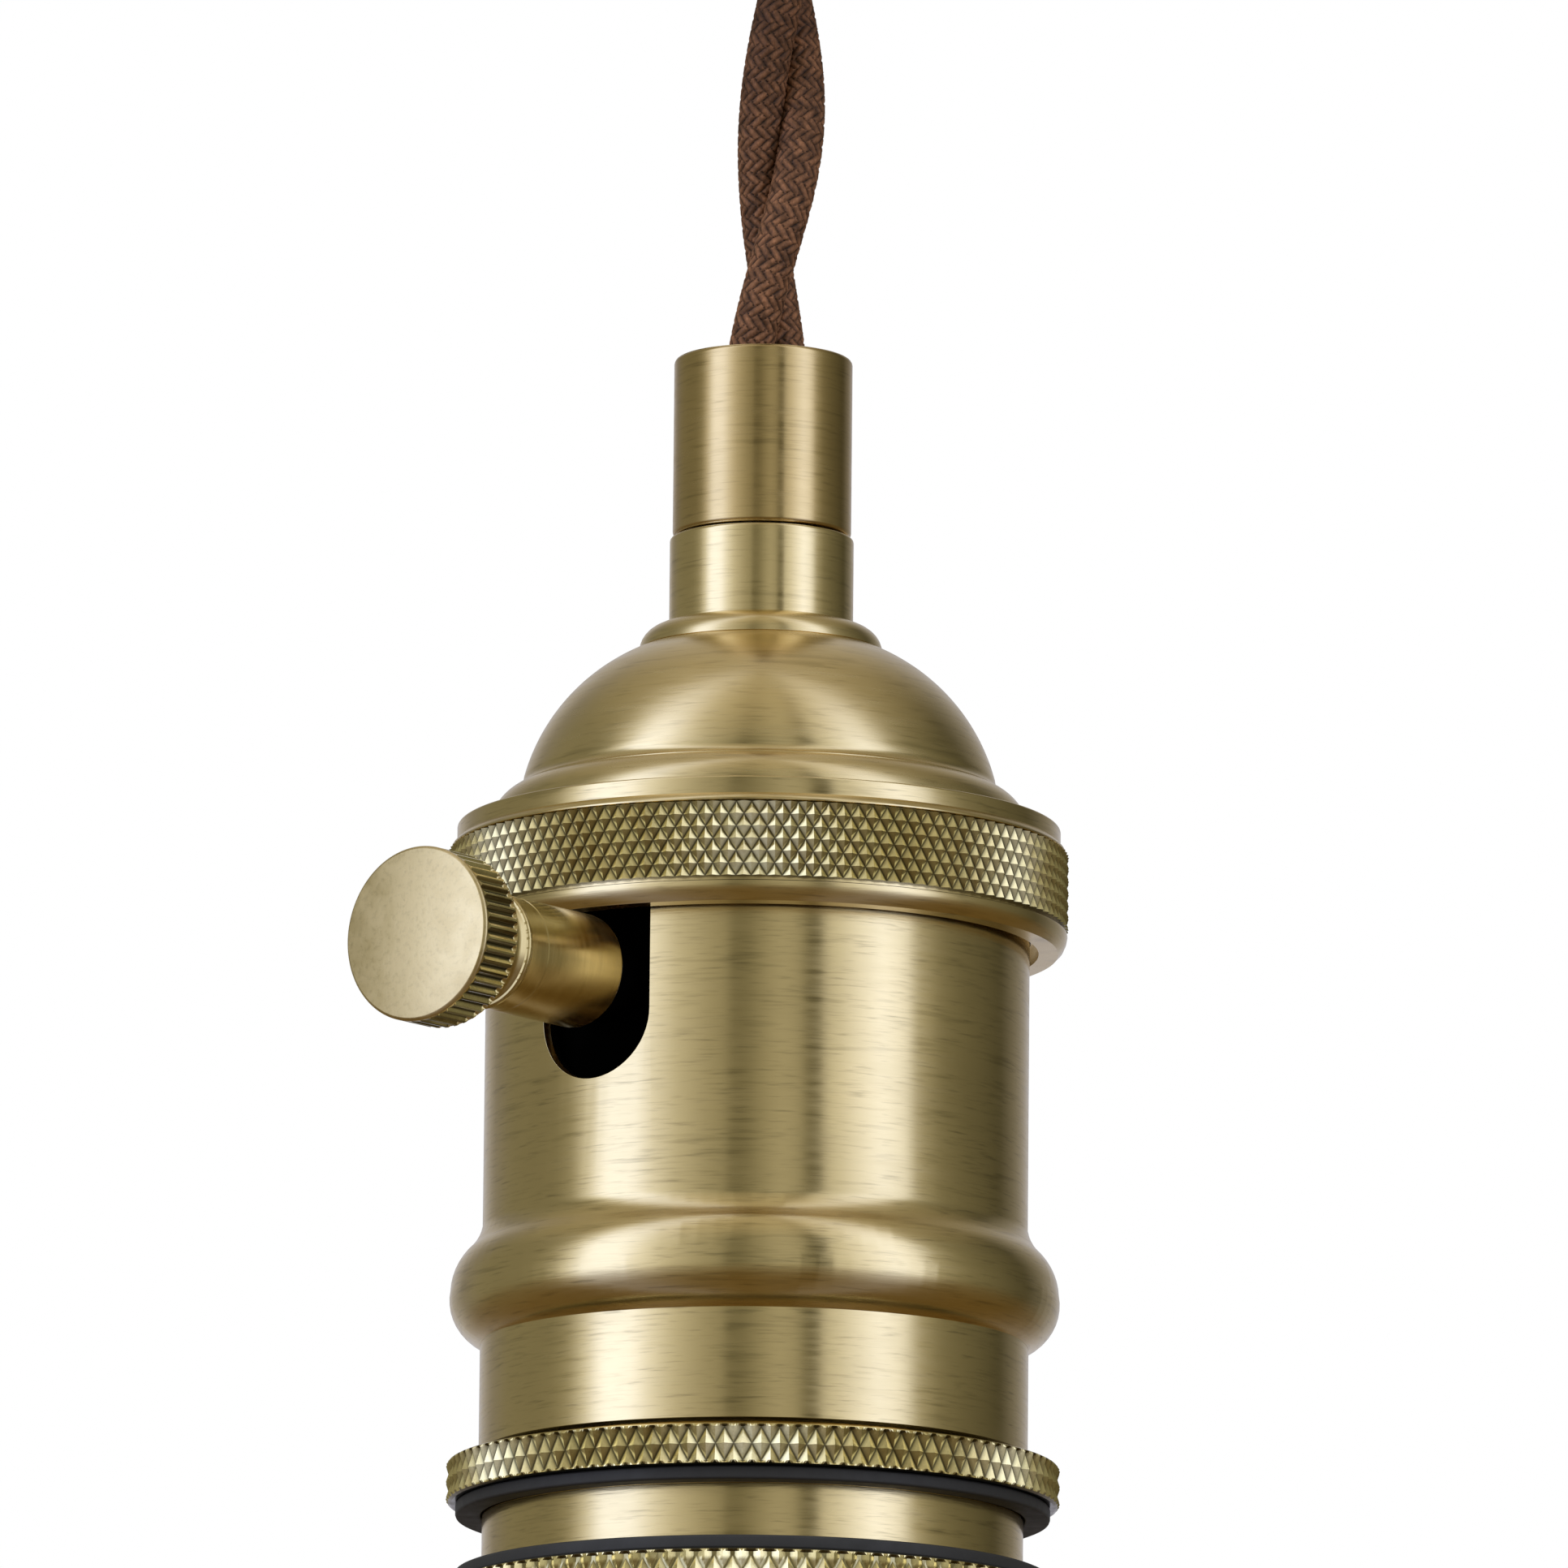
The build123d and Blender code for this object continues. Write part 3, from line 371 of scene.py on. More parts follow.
def make_core(line, lengths, phase):
    """One braided core, wound about the cord's line: its vertices, their relief and the faces."""
    vertices, heights, faces = [], [], []
    side = Vector((math.cos(VIEW_AZIMUTH), math.sin(VIEW_AZIMUTH), 0))
    depth = Vector((-math.sin(VIEW_AZIMUTH), math.cos(VIEW_AZIMUTH), 0))
    centres = []
    for (x, y, z) in line:
        twist = phase + TAU * (z - CROSSING_HEIGHT) / TWIST_PITCH
        aside = side * math.sin(twist) - depth * math.cos(twist)
        centres.append(Vector((x, y, z)) + aside * CORE_SPREAD)
    for i, centre in enumerate(centres):
        ahead = (centres[min(i + 1, len(centres) - 1)] - centres[max(i - 1, 0)]).normalized()
        across = (side - ahead * side.dot(ahead)).normalized()
        rear = ahead.cross(across)
        along = lengths[i] / BRAID_RISE
        for k in range(BRAID_AROUND):
            turn = TAU * k / BRAID_AROUND
            relief = braid_height(BRAID_COLUMNS * k / BRAID_AROUND, along)
            radius = CORE_RADIUS - BRAID_DEPTH + BRAID_DEPTH * relief
            vertices.append(centre + (across * math.cos(turn) + rear * math.sin(turn)) * radius)
            heights.append(relief)
    for i in range(len(centres) - 1):
        for k in range(BRAID_AROUND):
            n = (k + 1) % BRAID_AROUND
            a, b = i * BRAID_AROUND, (i + 1) * BRAID_AROUND
            faces.append((a + k, a + n, b + n, b + k))
    last = (len(centres) - 1) * BRAID_AROUND
    faces.append(tuple(range(BRAID_AROUND))[::-1])
    faces.append(tuple(last + k for k in range(BRAID_AROUND)))
    return vertices, heights, faces


def make_cord():
    """The twisted pair, one mesh that follows the cord's line."""
    smooth_line = cord_line()
    line, lengths = resample(smooth_line, BRAID_STEP)
    vertices, heights, faces = [], [], []
    for phase in (0.0, math.pi):
        more, their_heights, their_faces = make_core(line, lengths, phase)
        start = len(vertices)
        vertices += more
        heights += their_heights
        faces += [tuple(start + i for i in face) for face in their_faces]
    mesh = bpy.data.meshes.new("twisted_cord")
    mesh.from_pydata([tuple(v) for v in vertices], [], faces)
    mesh.shade_smooth()
    relief = mesh.color_attributes.new(name="relief", type="FLOAT_COLOR", domain="POINT")
    relief.data.foreach_set("color", np.repeat(np.clip(heights, 0, 1), 4).astype(np.float32))
    return stand_for(link("twisted_cord", mesh), "cord"), smooth_line


def declare_cord(cord, smooth_line):
    """Lists the points of the cord's line; nothing is done with them."""
    [tuple(p) for p in smooth_line]


# ---- turned, knurled and threaded pieces ------------------------------------------------
def knurl(pattern, low, high, face_radius):
    """Relief of pointed diamonds between two heights, sunk into the face at one radius."""
    around, tall, depth = pattern

    def relief(turn, radius, height):
        if abs(radius - face_radius) >= ON_FACE or not low - 1e-6 <= height <= high + 1e-6:
            return 0.0
        u = around * turn / TAU
        v = (height - low) / tall
        return -depth * (1 - min(triangle_wave(u + v), triangle_wave(u - v)))

    return relief


def knurled_face(pattern, radius, low, high):
    """Outline points of a knurled face, close enough together to carry its diamonds."""
    rows = round((high - low) / pattern[1] * KNURL_SAMPLES)
    return spread((radius, low), (radius, high), rows) + [(radius, high)]


def thread(pattern, low, high, run_out, inward=False):
    """Relief of a screw thread between two heights, fading over its run-out at both ends."""
    pitch, depth = pattern

    def relief(turn, radius, height):
        fade = min(1.0, max(0.0, (height - low) / run_out), max(0.0, (high - height) / run_out))
        wave = triangle_wave(height / pitch - turn / TAU)
        crest = wave * wave * (3 - 2 * wave)
        return -depth * fade * (crest if inward else 1 - crest)

    return relief


def mark_relief(piece, depth_of, deepest):
    """Stores how high each vertex stands: 1 on a knurl's or flute's crowns, 0 in its roots."""
    heights = [1 - min(1.0, max(0.0, depth_of(v.co / MM) / deepest)) for v in piece.data.vertices]
    relief = piece.data.color_attributes.new(name="relief", type="FLOAT_COLOR", domain="POINT")
    relief.data.foreach_set("color", np.repeat(heights, 4).astype(np.float32))


def make_cap():
    """Spun dome: rounded crown step, dome, hollow at its foot, rounded shoulder and flange."""
    low, top, radius = span("cap")
    hole, wall = 5.05, 1.0
    crown_in, crown_out, crown_low, crown_steps = 6.85, 8.9, 76.4, 8
    dome_centre, dome_radius = (3.39, 63.13), 14.33
    hollow_centre, hollow_radius = (18.1, 66.55), 0.82
    seam = [(18.02, 65.58), (18.06, 65.6)]
    shoulder_centre, shoulder_radius = (16.7, 63.0), 3.0
    flange, flange_top = 19.7, low + 0.7
    outline = [(hole, top), (crown_in, top)]
    for step in range(1, crown_steps + 1):
        turn = math.pi / 2 * step / crown_steps
        crown = crown_in + (crown_out - crown_in) * math.sin(turn)
        outline.append((crown, crown_low + (top - crown_low) * math.cos(turn)))
    outline += arc_points(dome_centre, dome_radius, 67.6, 14.9, 40)
    outline += arc_points(hollow_centre, hollow_radius, 178, 260, 8)
    outline += seam
    outline += arc_points(shoulder_centre, shoulder_radius, 62, 4, 14)
    outline += [(flange, flange_top), (radius, flange_top), (radius, low), (flange - wall, low)]
    outline += arc_points(shoulder_centre, shoulder_radius - wall, 2, 60, 6)
    outline += arc_points(dome_centre, dome_radius - wall, 12, 72, 12)
    outline.append((hole, dome_centre[1] + dome_radius - wall - 0.3))
    return stand_for(turned("domed_cap", outline, 256, None, 30), "cap")


def make_lock_ring():
    """Coupling ring: smooth band, diamond knurl, dark groove and a foot that narrows to an edge."""
    low, top, radius = LOCK_SPAN
    knurl_low, knurl_top = low + LOCK_FOOT_HEIGHT, top - LOCK_RIM_HEIGHT
    bore, relief_radius, relief_top = 19.91, 20.5, low + 0.8
    lip, lip_low, seat_out, seat = 20.3, top - 0.65, 21.2, top - 1.67
    edge, foot, band, rounding = radius - 0.68, radius - 0.08, radius - 0.62, 0.16
    outline = [(relief_radius, low), (edge - 0.06, low)]
    outline += [(edge, low + 0.08), (edge + 0.33, low + 0.42), (edge + 0.52, low + 0.85)]
    outline += [(foot, low + 1.25), (foot - 0.02, low + 1.36), (foot - 0.14, low + 1.42)]
    outline += [(band, low + 1.45), (band, knurl_low)]
    outline += knurled_face(LOCK_KNURL, radius, knurl_low, knurl_top)
    outline += [(radius - 0.5, knurl_top), (radius - 0.5, knurl_top + 0.06)]
    outline += [(radius - 0.3, knurl_top + 0.08), (radius - 0.2, knurl_top + 0.14)]
    outline += [(radius - 0.2, knurl_top + 0.24), (radius - 0.28, knurl_top + 0.38)]
    outline += [(radius - 0.44, knurl_top + 0.54), (band, knurl_top + 0.7)]
    outline += arc_points((band - rounding, top - rounding), rounding, 0, 90, 4)
    outline += [(lip, top), (lip, lip_low), (seat_out, lip_low), (seat_out, seat), (bore, seat)]
    outline += [(bore, relief_top), (relief_radius, relief_top)]
    steps = LOCK_KNURL[0] * KNURL_SAMPLES
    relief = knurl(LOCK_KNURL, knurl_low, knurl_top, radius)
    ring = turned("knurled_lock_ring", outline, steps, relief, 24)
    mark_relief(ring, lambda p: radius - math.hypot(p.x, p.y), LOCK_KNURL[2])
    return stand_for(ring, "lock_ring")


def make_shade_ring(node, name):
    """Knurled nut: crossed knurl over its whole face, thin rims, and a bore drawn plain with
    lead-ins where the real ring is threaded.
    """
    low, top, radius = span(node)
    bore, rim, lead_in = 19.75, 0.28, 0.2
    face_low, face_top = low + rim, top - rim
    outline = [(bore + lead_in, low), (radius - rim - 0.1, low), (radius - 0.16, low + 0.1)]
    outline += knurled_face(SHADE_KNURL, radius, face_low, face_top)
    outline += [(radius - 0.16, top - 0.1), (radius - rim - 0.1, top), (bore + lead_in, top)]
    outline += [(bore, top - lead_in), (bore, low + lead_in)]
    steps = SHADE_KNURL[0] * KNURL_SAMPLES
    ring = turned(name, outline, steps, knurl(SHADE_KNURL, face_low, face_top, radius), 24)
    mark_relief(ring, lambda p: radius - math.hypot(p.x, p.y), SHADE_KNURL[2])
    return stand_for(ring, node)


def flute_relief(head_radius, face):
    """Straight grooves with rounded ends in the knob's head; heights run back from its face."""

    def relief(turn, radius, height):
        if abs(radius - head_radius) > ON_FACE:
            return 0.0
        pitch = TAU * head_radius / FLUTES
        aside = (turn / TAU * FLUTES - math.floor(turn / TAU * FLUTES) - 0.5) * pitch
        back = height - face
        beyond = max(FLUTE_START - back, back - FLUTE_END, 0.0)
        distance = math.hypot(aside, beyond) / (FLUTE_WIDTH / 2)
        return -FLUTE_DEPTH * math.sqrt(max(0.0, 1 - distance ** 2))

    return relief


def make_knob():
    """Brass turn knob: chamfered face, fluted head, flared neck with a bead, and a plain stem."""
    low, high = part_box("knob")
    face, stem_end = low[1] / MM, high[1] / MM
    centre = (low[2] + high[2]) / 2 / MM
    head = (high[2] - low[2]) / 2 / MM
    back, flare, bead = face + 3.9, face + 6.2, face + 7.8
    stem, neck, bore, bore_depth, stem_rounding = 4.15, 3.9, 2.03, 8.0, 0.3
    bead_radius, bead_rounding = 4.42, 0.28
    outline = [(0, face), (head - 0.24, face), (head - 0.17, face + 0.02)]
    outline.append((head - 0.03, face + 0.15))
    outline += spread((head, face + 0.22), (head, face + 0.78), 8)
    outline += spread((head, face + 0.78), (head, face + 3.4), 3)
    outline += spread((head, face + 3.4), (head, back - 0.06), 6)
    outline += [(head - 0.1, back), (stem + 1.15, back + 0.02), (stem + 0.95, back + 0.1)]
    outline += [(stem + 0.45, back + 0.75), (neck + 0.35, flare - 0.35), (neck + 0.1, flare)]
    outline += [(neck, flare + 0.35), (neck, bead - 0.75), (neck + 0.12, bead - 0.5)]
    outline += arc_points((bead_radius - bead_rounding, bead), bead_rounding, -90, 90, 6)
    outline += [(stem + 0.02, bead + 0.36), (stem, bead + 0.5), (stem, bead + 2.2)]
    outline += [(stem - 0.06, bead + 2.25), (stem - 0.06, bead + 2.4), (stem, bead + 2.45)]
    outline += arc_points((stem - stem_rounding, stem_end - stem_rounding), stem_rounding, 0, 90, 5)
    outline += [(bore, stem_end), (bore, stem_end - bore_depth), (0, stem_end - bore_depth)]

    def place(radius, turn, y):
        return radius * math.cos(turn), y, centre + radius * math.sin(turn)

    knob = turned("turn_knob", outline, FLUTES * FLUTE_SAMPLES, flute_relief(head, face), 30, place)
    mark_relief(knob, lambda p: head - math.hypot(p.x, p.z - centre), FLUTE_DEPTH)
    return stand_for(knob, "knob")


def make_skirt_thread():
    """Vertices and faces of the shell skirt's screw thread, which carries the two shade rings."""
    skirt, low, land_low, land_high, high = 19.42, 0.15, 8.15, 12.25, 16.45
    crest, buried = skirt + SKIRT_THREAD[1] - 0.08, skirt - 0.3

    def relief(turn, radius, height):
        return cut(turn, radius, height) if radius > skirt else 0.0

    vertices, faces = [], []
    for bottom, top in ((low, land_low), (land_high, high)):
        rows = round((top - bottom) / SKIRT_THREAD[0] * 10)
        outline = [(buried, bottom)]
        outline += spread((crest, bottom), (crest, top), rows)
        outline += [(crest, top), (buried, top)]
        cut = thread(SKIRT_THREAD, bottom, top, 0.01)
        more, their_faces = turned_grid(outline, THREAD_STEPS, relief, upright())
        faces += [tuple(len(vertices) + i for i in face) for face in their_faces]
        vertices += more
    return vertices, faces


def make_nipple(node, name):
    """Threaded tube that carries the cord through."""
    low, top, radius = span(node)
    lower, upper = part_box(node)
    x, y = (lower[0] + upper[0]) / 2 / MM, (lower[1] + upper[1]) / 2 / MM
    bore, chamfer_in, chamfer_tall = 3.9, 0.5, 0.3
    rows = round((top - low) / NIPPLE_THREAD[0] * 8)
    outline = [(bore, low), (radius - chamfer_in, low)]
    outline += spread((radius, low + chamfer_tall), (radius, top - chamfer_tall), rows)
    outline += [(radius, top - chamfer_tall), (radius - chamfer_in, top), (bore, top)]
    cut = thread(NIPPLE_THREAD, low + chamfer_tall, top - chamfer_tall, 0.4)

    def relief(turn, r, height):
        return cut(turn, r, height) if r > radius - ON_FACE else 0.0

    return stand_for(turned(name, outline, THREAD_STEPS, relief, 40, upright(x, y)), node)


def make_screw_shell():
    """Drawn shell with the lamp's rolled thread and an inward flange at its closed end."""
    low, top, radius = span("screw_shell")
    wall, flange_bore = 0.4, 11.0
    flange = top - wall + 0.03
    rows = round((flange - low) / LAMP_THREAD[0] * 16)
    rolled = thread(LAMP_THREAD, low + 1.2, flange - 1.5, 1.6, inward=True)
    outer = spread((radius, low), (radius, flange), rows)
    inner = [(radius - wall, height) for _, height in outer][::-1]
    end = [(radius, top), (flange_bore, top), (flange_bore, flange), (radius - wall, flange)]

    def relief(turn, r, height):
        return rolled(turn, r, height) if r > flange_bore + 1 else 0.0

    shell = turned("rolled_screw_shell", outer + end + inner, 192, relief, 40)
    return stand_for(shell, "screw_shell")


def softened(node, name, width, extra=None):
    """A CAD node's shape with its sharp edges broken, and any extra vertices and faces joined."""
    grid = bmesh.new()
    grid.from_mesh(node_mesh(node).data)
    bmesh.ops.remove_doubles(grid, verts=grid.verts, dist=1e-7)
    flat = math.radians(0.5)
    bmesh.ops.dissolve_limit(grid, angle_limit=flat, verts=grid.verts, edges=grid.edges)
    sharp = [
        e for e in grid.edges
        if len(e.link_faces) == 2 and e.calc_face_angle() > math.radians(SHARP_EDGE)
    ]
    bmesh.ops.bevel(
        grid,
        geom=sharp,
        offset=width * MM,
        segments=2,
        profile=0.5,
        affect="EDGES",
        clamp_overlap=True,
    )
    mesh = bpy.data.meshes.new(name)
    grid.to_mesh(mesh)
    grid.free()
    if extra:
        vertices, faces = extra
        whole = bmesh.new()
        whole.from_mesh(mesh)
        more = bpy.data.meshes.new("extra")
        more.from_pydata([(x * MM, y * MM, z * MM) for x, y, z in vertices], [], faces)
        whole.from_mesh(more)
        bmesh.ops.recalc_face_normals(whole, faces=whole.faces)
        whole.to_mesh(mesh)
        whole.free()
        bpy.data.meshes.remove(more)
    crease(mesh, 35)
    piece = stand_for(link(name, mesh), node)
    flatter = piece.modifiers.new("flat_faces", "WEIGHTED_NORMAL")
    flatter.keep_sharp = True
    return piece


# ---- light and surroundings -----------------------------------------------------------
# Degrees to the right of the camera, as seen from the object: brightness of the panel there
STUDIO = [
    (-180, 0.60),
    (-160, 0.42),
    (-145, 0.24),
    (-126, 0.22),
    (-106, 0.21),
    (-94, 0.22),
    (-84, 0.32),
    (-75, 0.80),
    (-67, 1.55),
    (-53, 1.52),
    (-44, 1.02),
    (-34, 0.64),
    (-20, 0.38),
    (-12.5, 0.33),
    (-12, 0.15),
    (-4, 0.19),
    (4, 0.34),
    (10, 0.44),
    (19, 0.38),
    (21, 0.14),
    (27.5, 0.12),
    (28.5, 0.66),
    (36, 0.80),
    (46, 1.16),
    (54, 1.42),
    (65, 1.20),
    (73, 0.42),
    (85, 0.21),
    (98, 0.15),
    (126, 0.07),
    (146, 0.22),
    (180, 0.60),
]
# Degrees from the camera beyond which a panel is bluer, and by how much
RIM_START = 140
RIM_COOL = 0.2
# Degrees above the horizon: how much of what stands there is the dark ground below
GROUND = [(-90, 0.92), (-38, 0.90), (-18, 0.62), (-6, 0.0), (90, 0.0)]
GROUND_COLOUR = (0.135, 0.085, 0.026)
# Degrees above the horizon: how far the soft ceiling takes over from the panels
CEILING = [(-90, 0.0), (34, 0.0), (56, 0.4), (74, 0.6), (90, 0.6)]
CEILING_COLOUR = (0.54, 0.47, 0.33)
# Lamps: name, degrees to the right of the camera, degrees up, size in metres and power in watts
LAMPS = (("key", -50, 50, 0.7, 9.0), ("fill", 55, 35, 0.6, 4.0))
LAMP_REACH = 1.3


def shade(level, cool=0.0):
    """Colour of a panel: amber when dim, bluish white when bright."""
    return (level * (1.08 - 0.12 * level), level, level * (0.60 + 0.54 * level + cool))


def fill_ramp(node, stops):
    """Sets a colour ramp from (position, colour) stops."""
    elements = node.color_ramp.elements
    while len(elements) > 1:
        elements.remove(elements[-1])
    elements[0].position, elements[0].color = stops[0][0], (*stops[0][1], 1)
    for position, colour in stops[1:]:
        elements.new(position).color = (*colour, 1)


def make_world():
    """White to the camera; to the object, a studio of tall panels, dim gaps and a soft ceiling."""
    world = bpy.data.worlds.new("studio")
    world.use_nodes = True
    nodes, links = world.node_tree.nodes, world.node_tree.links
    nodes.clear()

    def ramp(source, stops):
        node = nodes.new("ShaderNodeValToRGB")
        links.new(source, node.inputs["Fac"])
        fill_ramp(node, stops)
        return node.outputs["Color"]

    def mix(factor, first, second):
        node = nodes.new("ShaderNodeMix")
        node.data_type = "RGBA"
        for value, socket in ((factor, "Factor"), (first, "A"), (second, "B")):
            target = next(s for s in node.inputs if s.name == socket and s.enabled)
            if isinstance(value, bpy.types.NodeSocket):
                links.new(value, target)
            else:
                target.default_value = value
        return next(s for s in node.outputs if s.enabled)

    direction = nodes.new("ShaderNodeTexCoord")
    turn = nodes.new("ShaderNodeMapping")
    turn.inputs["Rotation"].default_value = (0, 0, math.pi / 2 - VIEW_AZIMUTH)
    around = nodes.new("ShaderNodeTexGradient")
    around.gradient_type = "RADIAL"
    links.new(direction.outputs["Generated"], turn.inputs["Vector"])
    links.new(turn.outputs["Vector"], around.inputs["Vector"])
    stops = [
        (0.5 + angle / 360, shade(level, RIM_COOL if abs(angle) > RIM_START else 0.0))
        for angle, level in STUDIO
    ]
    panels = ramp(around.outputs["Fac"], stops)
    height = nodes.new("ShaderNodeSeparateXYZ")
    links.new(direction.outputs["Generated"], height.inputs["Vector"])
    lift = nodes.new("ShaderNodeMapRange")
    lift.inputs["From Min"].default_value = -1
    links.new(height.outputs["Z"], lift.inputs["Value"])

    def position(angle):
        """Where a height above the horizon, in degrees, falls on the ramps."""
        return 0.5 + 0.5 * math.sin(math.radians(angle))

    under = ramp(lift.outputs["Result"], [(position(angle), (part,) * 3) for angle, part in GROUND])
    over = ramp(lift.outputs["Result"], [(position(angle), (part,) * 3) for angle, part in CEILING])
    walls = mix(under, panels, (*GROUND_COLOUR, 1))
    room = mix(over, walls, (*CEILING_COLOUR, 1))
    studio = nodes.new("ShaderNodeBackground")
    links.new(room, studio.inputs["Color"])
    paper = nodes.new("ShaderNodeBackground")
    paper.inputs["Color"].default_value = (1, 1, 1, 1)
    ray = nodes.new("ShaderNodeLightPath")
    choice = nodes.new("ShaderNodeMixShader")
    links.new(ray.outputs["Is Camera Ray"], choice.inputs["Fac"])
    links.new(studio.outputs["Background"], choice.inputs[1])
    links.new(paper.outputs["Background"], choice.inputs[2])
    output = nodes.new("ShaderNodeOutputWorld")
    links.new(choice.outputs["Shader"], output.inputs["Surface"])
    bpy.context.scene.world = world
    bpy.context.scene.view_settings.view_transform = "Standard"


def make_floor():
    """Plain pale floor, a room's height under the hanging lampholder, and not reflected in it."""
    size, drop, glow = 12.0, 2.2, 0.42
    mesh = bpy.data.meshes.new("floor")
    corners = [(-size, -size), (size, -size), (size, size), (-size, size)]
    mesh.from_pydata([(x, y, -drop) for x, y in corners], [], [(0, 1, 2, 3)])
    floor = link("floor", mesh)
    floor.visible_glossy = False
    floor.visible_diffuse = False
    material = bpy.data.materials.new("floor")
    material.use_nodes = True
    surface = material.node_tree.nodes["Principled BSDF"]
    surface.inputs["Base Color"].default_value = (0.9, 0.9, 0.89, 1)
    surface.inputs["Roughness"].default_value = 0.9
    surface.inputs["Emission Color"].default_value = (1.0, 1.0, 0.985, 1)
    surface.inputs["Emission Strength"].default_value = glow
    mesh.materials.append(material)


def make_lights():
    """One broad soft lamp high on the left and a weaker one on the right."""
    for name, azimuth, rise, size, power in LAMPS:
        angle = VIEW_AZIMUTH + math.radians(azimuth)
        lamp_data = bpy.data.lights.new(name, "AREA")
        lamp_data.size = size
        lamp_data.energy = power
        lamp = bpy.data.objects.new(name, lamp_data)
        away = LAMP_REACH * math.cos(math.radians(rise))
        above = LAMP_REACH * math.sin(math.radians(rise))
        place = Vector((away * math.sin(angle), -away * math.cos(angle), above + VIEW_HEIGHT))
        aim = (Vector((0, 0, VIEW_HEIGHT)) - place).to_track_quat("-Z", "Y")
        lamp.matrix_world = Matrix.Translation(place) @ aim.to_matrix().to_4x4()
        lamp.visible_glossy = False
        bpy.context.scene.collection.objects.link(lamp)


# ---- materials ------------------------------------------------------------------------
class Surface:
    """A material being built: its nodes and links, with short calls for the usual steps."""

    def __init__(self, name, colour, roughness, metallic=0.0):
        self.material = bpy.data.materials.new(name)
        self.material.use_nodes = True
        self.nodes = self.material.node_tree.nodes
        self.links = self.material.node_tree.links
        self.shader = self.nodes["Principled BSDF"]
        self.shader.inputs["Base Color"].default_value = (*colour, 1)
        self.shader.inputs["Roughness"].default_value = roughness
        self.shader.inputs["Metallic"].default_value = metallic
        self.colour = colour
        self.roughness = roughness
        self.place = self.nodes.new("ShaderNodeTexCoord").outputs["Object"]
        self.height = None

    def join(self, source, target):
        self.links.new(source, target)

    def stretched(self, scale, offset=(0, 0, 0)):
        """Object coordinates scaled by axis."""
        mapping = self.nodes.new("ShaderNodeMapping")
        mapping.inputs["Scale"].default_value = scale
        mapping.inputs["Location"].default_value = offset
        self.join(self.place, mapping.inputs["Vector"])
        return mapping.outputs["Vector"]

    def noise(self, vector, detail=3.0, rough=0.5):
        node = self.nodes.new("ShaderNodeTexNoise")
        node.inputs["Scale"].default_value = 1.0
        node.inputs["Detail"].default_value = detail
        node.inputs["Roughness"].default_value = rough
        self.join(vector, node.inputs["Vector"])
        return node.outputs["Fac"]

    def relief(self):
        """How high each point stands in its knurl, flute or braid: 1 on crowns, 0 in roots."""
        node = self.nodes.new("ShaderNodeVertexColor")
        node.layer_name = "relief"
        return node.outputs["Color"]

    def lean(self):
        """Which way each face looks: 0 down, 0.5 level, 1 up."""
        coordinates = self.nodes.new("ShaderNodeTexCoord")
        parts = self.nodes.new("ShaderNodeSeparateXYZ")
        self.join(coordinates.outputs["Normal"], parts.inputs["Vector"])
        return self.between(parts.outputs["Z"], 0.0, 1.0, -1.0, 1.0)

    def ramp(self, value, stops):
        node = self.nodes.new("ShaderNodeValToRGB")
        fill_ramp(node, stops)
        self.join(value, node.inputs["Fac"])
        return node.outputs["Color"]

    def greys(self, value, stops):
        """A ramp of neutral multipliers."""
        return self.ramp(value, [(position, (level,) * 3) for position, level in stops])

    def between(self, value, low, high, from_low=0.3, from_high=0.7):
        node = self.nodes.new("ShaderNodeMapRange")
        node.inputs["From Min"].default_value = from_low
        node.inputs["From Max"].default_value = from_high
        node.inputs["To Min"].default_value = low
        node.inputs["To Max"].default_value = high
        self.join(value, node.inputs["Value"])
        return node.outputs["Result"]

    def multiply(self, first, second):
        node = self.nodes.new("ShaderNodeMix")
        node.data_type = "RGBA"
        node.blend_type = "MULTIPLY"
        node.inputs["Factor"].default_value = 1
        self.join(first, node.inputs["A"])
        self.join(second, node.inputs["B"])
        return node.outputs["Result"]

    def tones(self, value, spread):
        """Base colour that drifts darker and lighter with a value."""
        dark = tuple(c * (1 - spread) for c in self.colour)
        light = tuple(min(1, c * (1 + spread)) for c in self.colour)
        return self.ramp(value, [(0.3, dark), (0.7, light)])

    def bump(self, value, distance, strength=1.0):
        node = self.nodes.new("ShaderNodeBump")
        node.inputs["Distance"].default_value = distance
        node.inputs["Strength"].default_value = strength
        self.join(value, node.inputs["Height"])
        if self.height:
            self.join(self.height, node.inputs["Normal"])
        self.height = node.outputs["Normal"]
        self.join(self.height, self.shader.inputs["Normal"])

    def into(self, source, socket):
        self.join(source, self.shader.inputs[socket])


